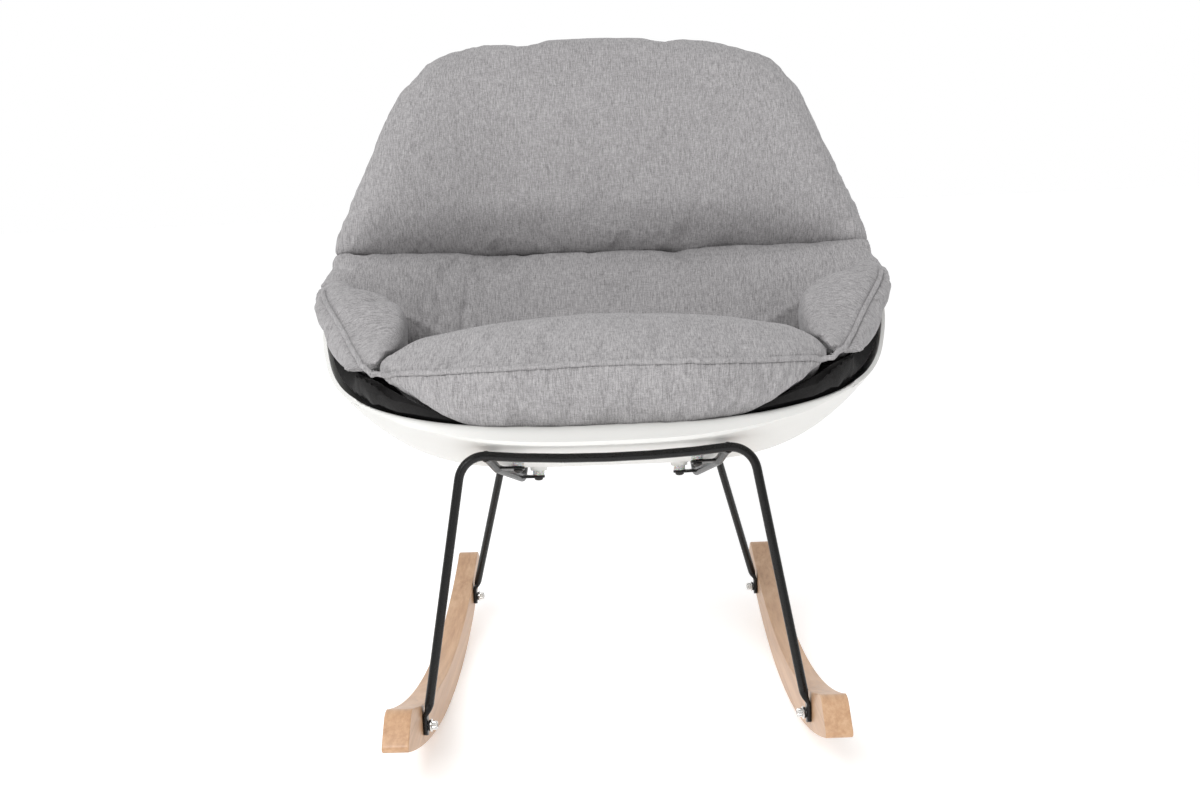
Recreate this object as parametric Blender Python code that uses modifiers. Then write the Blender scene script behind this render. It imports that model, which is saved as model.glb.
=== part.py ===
"""Rocking lounge chair: a moulded scoop shell with a padded insert, on a bent rod frame and two wooden rockers.

Metres, +Z up, origin on the floor below the middle of the chair. The sitter faces -Y.
"""

import math

import bmesh
import bpy
from mathutils import Matrix, Vector

# Seat shell: overall sizes of its mid-surface
SHELL_FRONT_Y = -0.318
SHELL_DEPTH = 0.597
SHELL_LOW_Z = 0.306
SHELL_HEIGHT = 0.532
SHELL_HALF_WIDTH = 0.356
SHELL_WALL = 0.005
SHELL_EDGE = 0.97
SHELL_TOP = 0.985
PAN_REAR = 0.60
SHELL_STEPS_ALONG = 28
SHELL_STEPS_ACROSS = 22
RIB_SWEEP = math.radians(62.0)

# Ribs of the shell from the front lip to the top of the back, as shares of the depth, height and half width:
# centre line (y, z), rim (x, y, z), and how flat the rib stays before it turns up
RIBS = (
    ((0.000, 0.165), (0.699, 0.204, 0.192), 2.7),
    ((0.049, 0.186), (0.773, 0.242, 0.205), 3.0),
    ((0.123, 0.159), (0.836, 0.281, 0.222), 3.6),
    ((0.237, 0.101), (0.893, 0.322, 0.245), 4.2),
    ((0.351, 0.051), (0.937, 0.363, 0.277), 4.5),
    ((0.466, 0.009), (0.967, 0.405, 0.316), 4.5),
    ((0.572, 0.000), (0.989, 0.449, 0.360), 4.3),
    ((0.678, 0.031), (0.998, 0.493, 0.399), 4.0),
    ((0.768, 0.118), (0.986, 0.534, 0.437), 3.6),
    ((0.825, 0.254), (0.967, 0.570, 0.466), 3.2),
    ((0.866, 0.410), (0.958, 0.605, 0.492), 3.0),
    ((0.907, 0.591), (0.932, 0.670, 0.601), 3.0),
    ((0.944, 0.764), (0.858, 0.755, 0.759), 3.2),
    ((0.977, 0.912), (0.784, 0.833, 0.885), 3.8),
    ((1.000, 1.000), (0.690, 0.898, 0.972), 5.0),
)

# Padded insert: seams along the shell (0 lip, 1 top) and across it (0 middle, 1 edge)
BASE_SPAN = (0.050, 0.556)
SEAT_SPAN = (0.085, 0.553)
LUMBAR_SPAN = (0.560, 0.728)
BACK_SPAN = (0.735, 1.000)
ARM_SPAN = (0.105, 0.553)
ARM_SEAM_FRONT = 0.82
ARM_SEAM_REAR = 0.66
ARM_SEAM_GAP = 0.016
ARM_SEAM_STRAIGHT_FROM = 0.50
ARM_SEAM_REACH = 0.40
FRONT_LEAN = 0.80
FRONT_LEAN_REACH = 0.45
STEEPEST_SLOPE = 2.0
PAD_GAP = 0.0040
BASE_GAP = 0.0045
CORNER_GAP = 0.0100
CORNER_SHELL_GAP = 0.0040
BASE_THICKNESS = 0.007
BASE_CORNER_THICKNESS = 0.024
CORNER_CENTRE = (0.20, 0.84)
CORNER_REACH = (0.30, 0.34)
SEAT_HEIGHTS = ((0.085, 0.082), (0.214, 0.142), (0.360, 0.162), (0.430, 0.146), (0.556, 0.115))
LUMBAR_HEIGHTS = ((0.556, 0.115), (0.643, 0.090), (0.700, 0.082), (0.728, 0.058))
BACK_HEIGHTS = ((0.735, 0.058), (0.780, 0.082), (0.850, 0.082), (0.930, 0.072), (1.000, 0.041))
SEAT_CROWN_DROP = 0.33
LUMBAR_EDGE_SHARE = 0.36
BACK_EDGE_SHARE = 0.60
BACK_TOP_FROM = 0.80
BASE_STEPS = (16, 26)
SEAT_STEPS = 14
BACK_STEPS = (6, 12)
ARM_STEPS = 12
ARM_STEPS_ACROSS = 5
ARM_PIPING_FIRST = 3
BACK_SIDE_OVERHANG = 0.012
BACK_TOP_OVERHANG = 0.016
ARM_PIPING_FRONT = (-0.042, -0.086, 0.040)
ARM_PIPING_MIDDLE = (-0.042, -0.060, 0.031)
ARM_PIPING_REAR = (-0.006, -0.030, 0.012)
ARM_CROWN_FRONT = (-0.034, -0.034, 0.054)
ARM_CROWN_MIDDLE = (-0.078, 0.014, 0.053)
ARM_CROWN_REAR = (-0.030, -0.022, 0.014)
ARM_SWELL = 0.014
ARM_SWELL_DIRECTION = (-0.30, -0.45, 0.84)
ARM_OVERHANG = 0.018
PIPING_RADIUS = 0.003
PIPING_GAP = 0.0045

# Rod frame; a place along the shell is a share of its depth from the lip
ROD_RADIUS = 0.0053
ROD_BEND_RADIUS = 0.030
FRONT_BAR_ALONG = 0.18928
FRONT_BAR_Y = SHELL_FRONT_Y + SHELL_DEPTH * FRONT_BAR_ALONG
FRONT_BAR_Z = 0.363
FRONT_BAR_SAG = 0.009
FRONT_CORNER_X = 0.1640
REAR_BAR_ALONG = 0.73367
REAR_BAR_Y = SHELL_FRONT_Y + SHELL_DEPTH * REAR_BAR_ALONG
REAR_BAR_Z = 0.3235
REAR_CORNER_X = 0.1385
FRONT_FOOT_Y = -0.258
REAR_FOOT_Y = 0.244
WELD_GAP = 0.0004
WELD_CLEARANCE = 1.25 * ROD_RADIUS + WELD_GAP
RAIL_BEND_RADIUS = 0.020
RAIL_TURN_PAST_TAB = 0.022
RAIL_REAR_INSET = 0.006
ROD_INTO_PLATE = 0.004

# Seat mounting: tabs on the rails, spacers and bosses
FRONT_MOUNT_ALONG = 0.29313
REAR_MOUNT_ALONG = 0.50586
FRONT_MOUNT = (0.105, SHELL_FRONT_Y + SHELL_DEPTH * FRONT_MOUNT_ALONG)
REAR_MOUNT = (0.090, SHELL_FRONT_Y + SHELL_DEPTH * REAR_MOUNT_ALONG)
TAB_REACH = 0.025
TAB_WIDTH = 0.016
TAB_THICKNESS = 0.003
TAB_SKEW = 0.0012
BOSS_RADIUS = 0.0105
BOSS_HEIGHT = 0.005
SPACER_RADIUS = 0.0075
SPACER_HEIGHT = 0.006

# Leg ends and rockers
FOOT_TAB_WIDTH = 0.016
FOOT_TAB_THICKNESS = 0.005
FOOT_TAB_BELOW = 0.011
FOOT_TAB_ABOVE = 0.020
FOOT_SET_IN = 0.0012
FOOT_TAB_LAP = 0.002
FOOT_TAB_CORNER = 0.0065
ROCKER_RADIUS = 0.960
ROCKER_HEIGHT = 0.045
ROCKER_THICKNESS = 0.029
ROCKER_INNER_X = 0.2165
ROCKER_SPLAY = math.radians(0.4)
ROCKER_CENTRE_Y = 0.020
ROCKER_FRONT_REACH = 0.392
ROCKER_REAR_REACH = 0.3485
ROCKER_FACET = 0.026
FACET_LEAST = 0.2
ROCKER_NOSE_SLOPE = 0.020
ROCKER_EDGE = 0.004

# Fasteners
THREAD_RADIUS = 0.003
HOLE_RADIUS = 0.0034
HEAD_RADIUS = 0.005
HEAD_HEIGHT = 0.006
SOCKET_RADIUS = 0.0027
SOCKET_DEPTH = 0.003
WASHER_RADIUS = 0.0072
WASHER_THICKNESS = 0.0016
SPRING_WASHER_RADIUS = 0.0060
SPRING_WASHER_THICKNESS = 0.0020
INSERT_RADIUS = 0.0045
ROCKER_INSERT_LENGTH = 0.016
SHELL_INSERT_LENGTH = 0.007
PAN_HEAD_RADIUS = 0.0055
PAN_HEAD_HEIGHT = 0.0036
FIT_GAP = 0.0003
HEAD_LAP = 0.001
PAN_SOCKET_DEPTH = 0.002
SHELL_SKIN = 0.0015
INSERT_HOLE_PAST = 0.002
SHANK_SHORT = 0.002
CUT_PAST = 0.005

ROUND_SIDES = 16
TUBE_RESOLUTION = 4

PARTS_NAME = "rocking_chair"
CUTTERS_NAME = "rocking_chair_cutters"

MATERIALS = {
    "shell_white": ((0.86, 0.86, 0.85), 0.35, 0.0),
    "fabric_grey": ((0.42, 0.42, 0.43), 0.90, 0.0),
    "fabric_black": ((0.02, 0.02, 0.02), 0.95, 0.0),
    "frame_black": ((0.025, 0.024, 0.023), 0.45, 0.6),
    "beech": ((0.78, 0.58, 0.38), 0.50, 0.0),
    "bright_steel": ((0.75, 0.75, 0.75), 0.25, 1.0),
    "dark_steel": ((0.06, 0.06, 0.06), 0.45, 0.8),
    "brass": ((0.75, 0.60, 0.30), 0.30, 1.0),
    "spacer_plastic": ((0.90, 0.90, 0.88), 0.30, 0.0),
}


# ---------------------------------------------------------------- scene helpers


def clear_scene():
    for item in list(bpy.data.objects):
        bpy.data.objects.remove(item, do_unlink=True)


def new_collection(name):
    collection = bpy.data.collections.new(name)
    bpy.context.scene.collection.children.link(collection)
    return collection


def new_material(name, colour, roughness, metallic):
    material = bpy.data.materials.new(name)
    material.use_nodes = True
    shader = material.node_tree.nodes["Principled BSDF"]
    shader.inputs["Base Color"].default_value = (*colour, 1.0)
    shader.inputs["Roughness"].default_value = roughness
    shader.inputs["Metallic"].default_value = metallic
    return material


def add_object(name, mesh, collection, finish=None):
    item = bpy.data.objects.new(name, mesh)
    collection.objects.link(item)
    if finish:
        mesh.materials.clear()
        mesh.materials.append(new_material(name + "_" + finish, *MATERIALS[finish]))
    return item


def add_part(name, mesh, finish, smooth_angle=35.0):
    mesh.shade_smooth()
    mesh.set_sharp_from_angle(angle=math.radians(smooth_angle))
    return add_object(name, mesh, PARTS, finish)


def add_cutter(name, mesh):
    item = add_object(name, mesh, CUTTERS)
    item.hide_render = True
    item.display_type = "WIRE"
    return item


def mesh_from(builder, name="shape"):
    """A new mesh from a bmesh, normals pointing out."""
    bmesh.ops.recalc_face_normals(builder, faces=builder.faces[:])
    mesh = bpy.data.meshes.new(name)
    builder.to_mesh(mesh)
    builder.free()
    return mesh


def boolean(item, other, operation):
    modifier = item.modifiers.new(operation.lower(), "BOOLEAN")
    modifier.operation = operation
    modifier.solver = "EXACT"
    modifier.object = other


# ---------------------------------------------------------------- basic shapes


def cylinder_mesh(radius, start, end, frame, sides=ROUND_SIDES):
    """A cylinder on the frame's Z axis from height start to height end."""
    builder = bmesh.new()
    place = frame @ Matrix.Translation((0.0, 0.0, 0.5 * (start + end)))
    bmesh.ops.create_cone(
        builder, cap_ends=True, segments=sides, radius1=radius, radius2=radius, depth=end - start, matrix=place
    )
    return mesh_from(builder)


def ring_mesh(outer, inner, start, end, frame, sides=ROUND_SIDES):
    """A flat ring on the frame's Z axis: a profile spun about it."""
    builder = bmesh.new()
    corners = [(inner, start), (outer, start), (outer, end), (inner, end)]
    verts = [builder.verts.new((radius, 0.0, height)) for radius, height in corners]
    edges = [builder.edges.new((verts[i], verts[(i + 1) % 4])) for i in range(4)]
    bmesh.ops.spin(
        builder,
        geom=verts + edges,
        cent=(0.0, 0.0, 0.0),
        axis=(0.0, 0.0, 1.0),
        angle=2.0 * math.pi,
        steps=sides,
        use_merge=True,
    )
    bmesh.ops.remove_doubles(builder, verts=builder.verts[:], dist=1e-6)
    bmesh.ops.transform(builder, matrix=frame, verts=builder.verts[:])
    return mesh_from(builder)


def box_mesh(low, high, frame, rounding=0.0, axis=2):
    """A box in the frame's axes, its edges along one axis rounded."""
    builder = bmesh.new()
    size = Vector(high) - Vector(low)
    centre = 0.5 * (Vector(high) + Vector(low))
    place = Matrix.Translation(centre) @ Matrix.Diagonal((*size, 1.0))
    bmesh.ops.create_cube(builder, size=1.0, matrix=place)
    if rounding > 0.0:
        along = [e for e in builder.edges if abs((e.verts[0].co - e.verts[1].co).normalized()[axis]) > 0.9]
        bmesh.ops.bevel(builder, geom=along, offset=rounding, segments=4, profile=0.5, affect="EDGES")
    bmesh.ops.transform(builder, matrix=frame, verts=builder.verts[:])
    return mesh_from(builder)


def rounded_path(corners, radius, steps=6):
    """Points along straight runs whose inner corners are arcs of the bend radius."""
    points = [Vector(corners[0])]
    for before, corner, after in zip(corners, corners[1:], corners[2:]):
        corner = Vector(corner)
        towards_start = (Vector(before) - corner).normalized()
        towards_end = (Vector(after) - corner).normalized()
        opening = towards_start.angle(towards_end)
        if math.pi - opening < math.radians(4.0):
            points.append(corner)
            continue
        setback = radius / math.tan(0.5 * opening)
        bisector = (towards_start + towards_end).normalized()
        centre = corner + bisector * (radius / math.sin(0.5 * opening))
        spoke = corner + towards_start * setback - centre
        turn = math.pi - opening
        axis = spoke.cross(corner + towards_end * setback - centre)
        count = max(2, round(steps * turn / (0.5 * math.pi)) + 1)
        points.extend(centre + Matrix.Rotation(turn * i / count, 3, axis) @ spoke for i in range(count + 1))
    points.append(Vector(corners[-1]))
    return points


def tube_mesh(points, radius, resolution=TUBE_RESOLUTION):
    """A round rod along points: a bevelled curve with filled caps, made a mesh."""
    curve = bpy.data.curves.new("rod", "CURVE")
    curve.dimensions = "3D"
    curve.bevel_depth = radius
    curve.bevel_resolution = resolution
    curve.use_fill_caps = True
    spline = curve.splines.new("POLY")
    spline.points.add(len(points) - 1)
    for slot, point in zip(spline.points, points):
        slot.co = (*point, 1.0)
    holder = bpy.data.objects.new("rod_curve", curve)
    bpy.context.scene.collection.objects.link(holder)
    bpy.context.view_layer.update()
    evaluated = holder.evaluated_get(bpy.context.evaluated_depsgraph_get())
    mesh = bpy.data.meshes.new_from_object(evaluated)
    bpy.data.objects.remove(holder, do_unlink=True)
    bpy.data.curves.remove(curve)
    builder = bmesh.new()
    builder.from_mesh(mesh)
    bpy.data.meshes.remove(mesh)
    bmesh.ops.remove_doubles(builder, verts=builder.verts[:], dist=1e-6)
    return mesh_from(builder)


def mirrored(mesh):
    """A copy of a mesh, mirrored across the chair's middle plane."""
    builder = bmesh.new()
    builder.from_mesh(mesh)
    bmesh.ops.scale(builder, vec=(-1.0, 1.0, 1.0), verts=builder.verts[:])
    bmesh.ops.reverse_faces(builder, faces=builder.faces[:])
    return mesh_from(builder)


def add_pair(name, mesh, finish):
    """The same piece on the sitter's left (+X) and, mirrored, on the right."""
    other = mirrored(mesh)
    return add_part(name + "_left", mesh, finish), add_part(name + "_right", other, finish)


# ---------------------------------------------------------------- shell surface


def blend_points(values, t):
    """Catmull-Rom value at t in 0..1 through evenly spaced tuples, with straight ends."""
    last = len(values) - 1
    place = min(max(t, 0.0), 1.0) * last
    index = min(int(place), last - 1)
    f = place - index
    p1 = values[index]
    p2 = values[index + 1]
    p0 = values[index - 1] if index > 0 else [2.0 * a - b for a, b in zip(p1, p2)]
    p3 = values[index + 2] if index + 2 <= last else [2.0 * b - a for a, b in zip(p1, p2)]
    return [
        b
        + 0.5 * (c - a) * f
        + (a - 2.5 * b + 2.0 * c - 0.5 * d) * f**2
        + 0.5 * (3.0 * b - a - 3.0 * c + d) * f**3
        for a, b, c, d in zip(p0, p1, p2, p3)
    ]


def rib_row(rib):
    centre, rim, flatness = rib
    return (
        SHELL_FRONT_Y + SHELL_DEPTH * centre[0],
        SHELL_LOW_Z + SHELL_HEIGHT * centre[1],
        SHELL_HALF_WIDTH * rim[0],
        SHELL_FRONT_Y + SHELL_DEPTH * rim[1],
        SHELL_LOW_Z + SHELL_HEIGHT * rim[2],
        flatness,
    )


RIB_ROWS = [rib_row(rib) for rib in RIBS]


def surface(s, u):
    """Point of the shell's mid-surface: s from the lip (0) to the top (1), u across from -1 to 1."""
    centre_y, centre_z, rim_x, rim_y, rim_z, flatness = blend_points(RIB_ROWS, s)
    share = math.sin(u * RIB_SWEEP) / math.sin(RIB_SWEEP)
    rise = abs(share) ** flatness
    return Vector((rim_x * share, centre_y + (rim_y - centre_y) * rise, centre_z + (rim_z - centre_z) * rise))


def normal(s, u):
    """Unit normal of the mid-surface on the sitter's side."""
    step = 0.004
    s0, s1 = max(s - step, 0.0), min(s + step, 1.0)
    along = surface(s1, u) - surface(s0, u)
    across = surface(s, u + step) - surface(s, u - step)
    return across.cross(along).normalized()


def pad_direction(s, u):
    """Which way the pads stand off the shell: with the rib's slope, leaning forward near the front edge."""
    centre_y, centre_z, rim_x, rim_y, rim_z, flatness = blend_points(RIB_ROWS, s)
    lean = FRONT_LEAN * max(0.0, 1.0 - s / FRONT_LEAN_REACH)
    upright = (normal(s, 0.0) + Vector((0.0, -lean, 0.0))).normalized()
    rise = Vector((0.0, rim_y - centre_y, rim_z - centre_z)).dot(upright)
    share = math.sin(u * RIB_SWEEP) / math.sin(RIB_SWEEP)
    slope = min(max(flatness * rise / rim_x, 0.0), STEEPEST_SLOPE) * abs(share) ** (flatness - 1.0)
    return (upright - Vector((math.copysign(slope, u), 0.0, 0.0))).normalized()


def piecewise(table, s):
    """Smooth value between the table's (place, value) pairs."""
    if s <= table[0][0]:
        return table[0][1]
    for (s0, v0), (s1, v1) in zip(table, table[1:]):
        if s <= s1:
            f = (s - s0) / (s1 - s0)
            return v0 + (v1 - v0) * f * f * (3.0 - 2.0 * f)
    return table[-1][1]


def surface_below(x, y):
    """(s, u) of the pan point at plan position x, y."""
    low, high = BASE_SPAN[0], PAN_REAR
    for _ in range(50):
        s = 0.5 * (low + high)
        row = blend_points(RIB_ROWS, s)
        share = x / row[2]
        at_y = row[0] + (row[3] - row[0]) * abs(share) ** row[5]
        low, high = (s, high) if at_y < y else (low, s)
    return s, math.asin(share * math.sin(RIB_SWEEP)) / RIB_SWEEP


# ---------------------------------------------------------------- seat mounting frames


def mount_frame(mount):
    """Frame of a seat mounting on the +X side: Z down from the shell, X outward, at the mid-surface."""
    s, u = surface_below(*mount)
    down = -normal(s, u)
    along = down.cross(Vector((1.0, 0.0, 0.0))).normalized()
    outward = along.cross(down).normalized()
    place = Matrix.Identity(4)
    for column, axis in enumerate((outward, along, down)):
        for row in range(3):
            place[row][column] = axis[row]
    place.translation = surface(s, u)
    return place


BOSS_FACE = 0.5 * SHELL_WALL + BOSS_HEIGHT
SPACER_START = BOSS_FACE + FIT_GAP
TAB_START = SPACER_START + SPACER_HEIGHT + FIT_GAP
TAB_MIDDLE = TAB_START + 0.5 * TAB_THICKNESS
TAB_END = TAB_START + TAB_THICKNESS
INSERT_HOLE_START = -0.5 * SHELL_WALL + SHELL_SKIN


def build_shell():
    builder = bmesh.new()
    bmesh.ops.create_grid(builder, x_segments=SHELL_STEPS_ACROSS, y_segments=SHELL_STEPS_ALONG, size=1.0)
    for vert in builder.verts:
        vert.co = surface(0.5 * (vert.co.y + 1.0) * SHELL_TOP, vert.co.x * SHELL_EDGE)
    mesh = bpy.data.meshes.new("seat_shell")
    builder.to_mesh(mesh)
    builder.free()
    shell = add_part("seat_shell", mesh, "shell_white", 50.0)
    wall = shell.modifiers.new("wall", "SOLIDIFY")
    wall.thickness = SHELL_WALL
    wall.offset = 0.0
    for end, mount in (("front", FRONT_MOUNT), ("rear", REAR_MOUNT)):
        frame = mount_frame(mount)
        boss = cylinder_mesh(BOSS_RADIUS, 0.0, BOSS_FACE, frame)
        bore = cylinder_mesh(INSERT_RADIUS + FIT_GAP, INSERT_HOLE_START, BOSS_FACE + CUT_PAST, frame)
        for side, shapes in (("left", (boss, bore)), ("right", (mirrored(boss), mirrored(bore)))):
            boolean(shell, add_cutter(f"boss_{end}_{side}", shapes[0]), "UNION")
            boolean(shell, add_cutter(f"boss_bore_{end}_{side}", shapes[1]), "DIFFERENCE")
    return shell


# ---------------------------------------------------------------- padded insert


def pad_mesh(steps_along, steps_across, place):
    """A closed pad: a grid with a floor and a top, each point placed by place(along, across, level)."""
    builder = bmesh.new()
    bmesh.ops.create_grid(builder, x_segments=steps_across, y_segments=steps_along, size=1.0)
    raised = bmesh.ops.extrude_face_region(builder, geom=builder.faces[:], use_keep_orig=True)
    for item in raised["geom"]:
        if isinstance(item, bmesh.types.BMVert):
            item.co.z = 1.0
    for vert in builder.verts:
        vert.co = place(0.5 * (vert.co.y + 1.0), vert.co.x, vert.co.z)
    return mesh_from(builder)


def span_place(span, share):
    return span[0] + (span[1] - span[0]) * share


def shell_offset(s, u):
    """Distance along the pad direction that clears the shell's inner face."""
    gap = PAD_GAP + CORNER_SHELL_GAP * corner_share(s, u)
    return (0.5 * SHELL_WALL + gap) / max(pad_direction(s, u).dot(normal(s, u)), 0.5)


def corner_share(s, u):
    """1 in the front corners of the pan, fading to 0 around them."""
    along = max(0.0, 1.0 - ((s - CORNER_CENTRE[0]) / CORNER_REACH[0]) ** 2) ** 2
    return along * max(0.0, 1.0 - ((abs(u) - CORNER_CENTRE[1]) / CORNER_REACH[1]) ** 2) ** 2


def base_height(s, u):
    """Top of the black base: thin over the pan, fuller in the front corners under the pads."""
    swell = (BASE_CORNER_THICKNESS - BASE_THICKNESS) * corner_share(s, u)
    return shell_offset(s, u) + BASE_THICKNESS + swell


def pad_floor(s, u):
    """Bottom of a pad: on the base where there is one, else on the shell."""
    if s <= BASE_SPAN[1]:
        return base_height(s, u) + BASE_GAP + CORNER_GAP * corner_share(s, u)
    return shell_offset(s, u)


def pad_point(s, u, height):
    return surface(s, u) + pad_direction(s, u) * height


def arm_seam(s):
    """Where the seat pad meets the arm pads, across the shell."""
    share = min(max((ARM_SEAM_STRAIGHT_FROM - s) / ARM_SEAM_REACH, 0.0), 1.0)
    return ARM_SEAM_REAR + (ARM_SEAM_FRONT - ARM_SEAM_REAR) * share**2


def crown(share, drop, power=4.0):
    return 1.0 - drop * abs(share) ** power


def seat_height(s, across):
    return piecewise(SEAT_HEIGHTS, s) * crown(across, SEAT_CROWN_DROP, 2.0)


def build_base():
    def place(along, across, level):
        s = span_place(BASE_SPAN, along)
        u = across * SHELL_EDGE
        return pad_point(s, u, base_height(s, u) if level else shell_offset(s, u))

    return add_part("cushion_base", pad_mesh(*BASE_STEPS, place), "fabric_black")


def build_seat_cushion():
    def place(along, across, level):
        s = span_place(SEAT_SPAN, along)
        u = across * arm_seam(s)
        return pad_point(s, u, seat_height(s, across) if level else pad_floor(s, u))

    return add_part("seat_cushion", pad_mesh(SEAT_STEPS, SEAT_STEPS, place), "fabric_grey")


def back_overhang(s, across):
    """How far the back pads stand out past the shell's edge, at the sides and along the top."""
    side = math.copysign(1.0, across)
    outward = (surface(s, side) - surface(s, 0.9 * side)).normalized()
    upward = (surface(1.0, across) - surface(0.95, across)).normalized()
    rise = max(0.0, s - BACK_TOP_FROM) / (1.0 - BACK_TOP_FROM)
    return outward * (BACK_SIDE_OVERHANG * across**6) + upward * (BACK_TOP_OVERHANG * rise)


def build_back_pad(name, span, heights, edge_share):
    def place(along, across, level):
        s = span_place(span, along)
        height = piecewise(heights, s) * crown(across, 1.0 - edge_share)
        point = pad_point(s, across, height if level else pad_floor(s, across))
        return point + back_overhang(s, across)

    return add_part(name, pad_mesh(*BACK_STEPS, place), "fabric_grey")


def arm_u(s, share):
    inner = arm_seam(s) + ARM_SEAM_GAP
    return inner + (1.0 - inner) * share


def arm_top(s, along, share):
    """Point of an arm pad's top on the +X side: inner crown at share 0, outer seam at share 1."""
    rim = surface(s, 1.0)
    seam = rim + Vector(blend_points((ARM_PIPING_FRONT, ARM_PIPING_MIDDLE, ARM_PIPING_REAR), along))
    inner = rim + Vector(blend_points((ARM_CROWN_FRONT, ARM_CROWN_MIDDLE, ARM_CROWN_REAR), along))
    swell = Vector(ARM_SWELL_DIRECTION) * (ARM_SWELL * 4.0 * share * (1.0 - share))
    return inner.lerp(seam, share) + swell


def arm_point(along, across, level):
    """Point of the arm pad on the +X side: its outer wall stands proud of the shell's edge."""
    s = span_place(ARM_SPAN, along)
    share = 0.5 * (across + 1.0)
    u = arm_u(s, share)
    floor = pad_point(s, u, pad_floor(s, u))
    overhang = ARM_OVERHANG * share**2 * 4.0 * level * (1.0 - level)
    return floor.lerp(arm_top(s, along, share), level) + Vector((overhang, 0.0, 0.0))


def build_arm_cushions():
    return add_pair("arm_cushion", pad_mesh(ARM_STEPS, ARM_STEPS_ACROSS, arm_point), "fabric_grey")


def cord_point(edge, along, up, inner):
    """Centre of a cord beside a wall that holds the directions along and up, away from the inner point."""
    outward = up.cross(along).normalized()
    if outward.dot(inner - edge) > 0.0:
        outward = -outward
    return edge + outward * (PIPING_RADIUS + PIPING_GAP)


def build_piping():
    """Sewn cords beside the pads' upper edges, with a point at each step of the pad that they follow."""
    s = SEAT_SPAN[0]
    seat_path = []
    for i in range(1, SEAT_STEPS):
        across = 2.0 * i / SEAT_STEPS - 1.0
        seam = arm_seam(s)
        height = seat_height(s, across)
        edge = pad_point(s, across * seam, height)
        along = pad_point(s, (across + 0.02) * seam, height) - pad_point(s, (across - 0.02) * seam, height)
        seat_path.append(cord_point(edge, along, pad_direction(s, across * seam), surface(s + 0.2, 0.0)))
    add_part("seat_piping", tube_mesh(seat_path, PIPING_RADIUS, 2), "fabric_grey")
    arm_path = []
    for i in range(ARM_PIPING_FIRST, ARM_STEPS):
        share = i / ARM_STEPS
        edge = arm_point(share, 1.0, 1.0)
        along = arm_point(share + 0.02, 1.0, 1.0) - arm_point(share - 0.02, 1.0, 1.0)
        up = edge - arm_point(share, 1.0, 0.8)
        arm_path.append(cord_point(edge, along, up, arm_point(share, 0.5, 0.9)))
    add_pair("arm_piping", tube_mesh(arm_path, PIPING_RADIUS, 2), "fabric_grey")


# ---------------------------------------------------------------- rod frame and rockers


def rocker_floor(y):
    """Height of the rocker's underside at a place along it."""
    return ROCKER_RADIUS - math.sqrt(ROCKER_RADIUS**2 - (y - ROCKER_CENTRE_Y) ** 2)


def side_frame(y, z):
    """Frame on the left rocker's inner face: X outward into the rocker, Y along it, Z up."""
    turn = Matrix.Rotation(ROCKER_SPLAY, 4, "Z")
    origin = Matrix.Translation((ROCKER_INNER_X, ROCKER_CENTRE_Y, 0.0))
    return origin @ turn @ Matrix.Translation((0.0, y - ROCKER_CENTRE_Y, z))


def foot_frame(y):
    return side_frame(y, rocker_floor(y) + 0.5 * ROCKER_HEIGHT)


def bolt_frame(y):
    """Foot frame turned so that Z points from the rocker towards the chair's middle."""
    return foot_frame(y) @ Matrix.Rotation(-0.5 * math.pi, 4, "Y")


def foot_top(y):
    """Where the rod meets its flattened end, on the rod's centre line."""
    return foot_frame(y) @ Vector((-FIT_GAP - ROD_RADIUS - FOOT_SET_IN, 0.0, FOOT_TAB_ABOVE))


def build_hoop(name, foot_y, bar_y, bar_z, corner_x, sag):
    top = foot_top(foot_y)
    corner = Vector((corner_x, bar_y, bar_z))
    tilt = (corner - top).normalized()
    start = top - tilt * ROD_INTO_PLATE
    bar = [Vector((corner_x * k, bar_y, bar_z - sag * (1.0 - k * k))) for k in (0.6, 0.3, 0.0, -0.3, -0.6)]
    flip = Matrix.Diagonal((-1.0, 1.0, 1.0))
    corners = [start, corner, *bar, flip @ corner, flip @ start]
    rod = add_part(name, tube_mesh(rounded_path(corners, ROD_BEND_RADIUS), ROD_RADIUS), "frame_black")
    half = 0.5 * FOOT_TAB_WIDTH
    low = (-FIT_GAP - FOOT_TAB_THICKNESS, -half, -FOOT_TAB_BELOW)
    high = (-FIT_GAP, half, FOOT_TAB_ABOVE + FOOT_TAB_LAP)
    plate = box_mesh(low, high, foot_frame(foot_y), FOOT_TAB_CORNER, 0)
    bore = cylinder_mesh(HOLE_RADIUS, -CUT_PAST, FOOT_TAB_THICKNESS + CUT_PAST, bolt_frame(foot_y))
    for side, shapes in (("left", (plate, bore)), ("right", (mirrored(plate), mirrored(bore)))):
        boolean(rod, add_cutter(f"{name}_plate_{side}", shapes[0]), "UNION")
        boolean(rod, add_cutter(f"{name}_bore_{side}", shapes[1]), "DIFFERENCE")
    return rod


def bar_height(x, bar_z, corner_x, sag):
    return bar_z - sag * (1.0 - (x / corner_x) ** 2)


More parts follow.
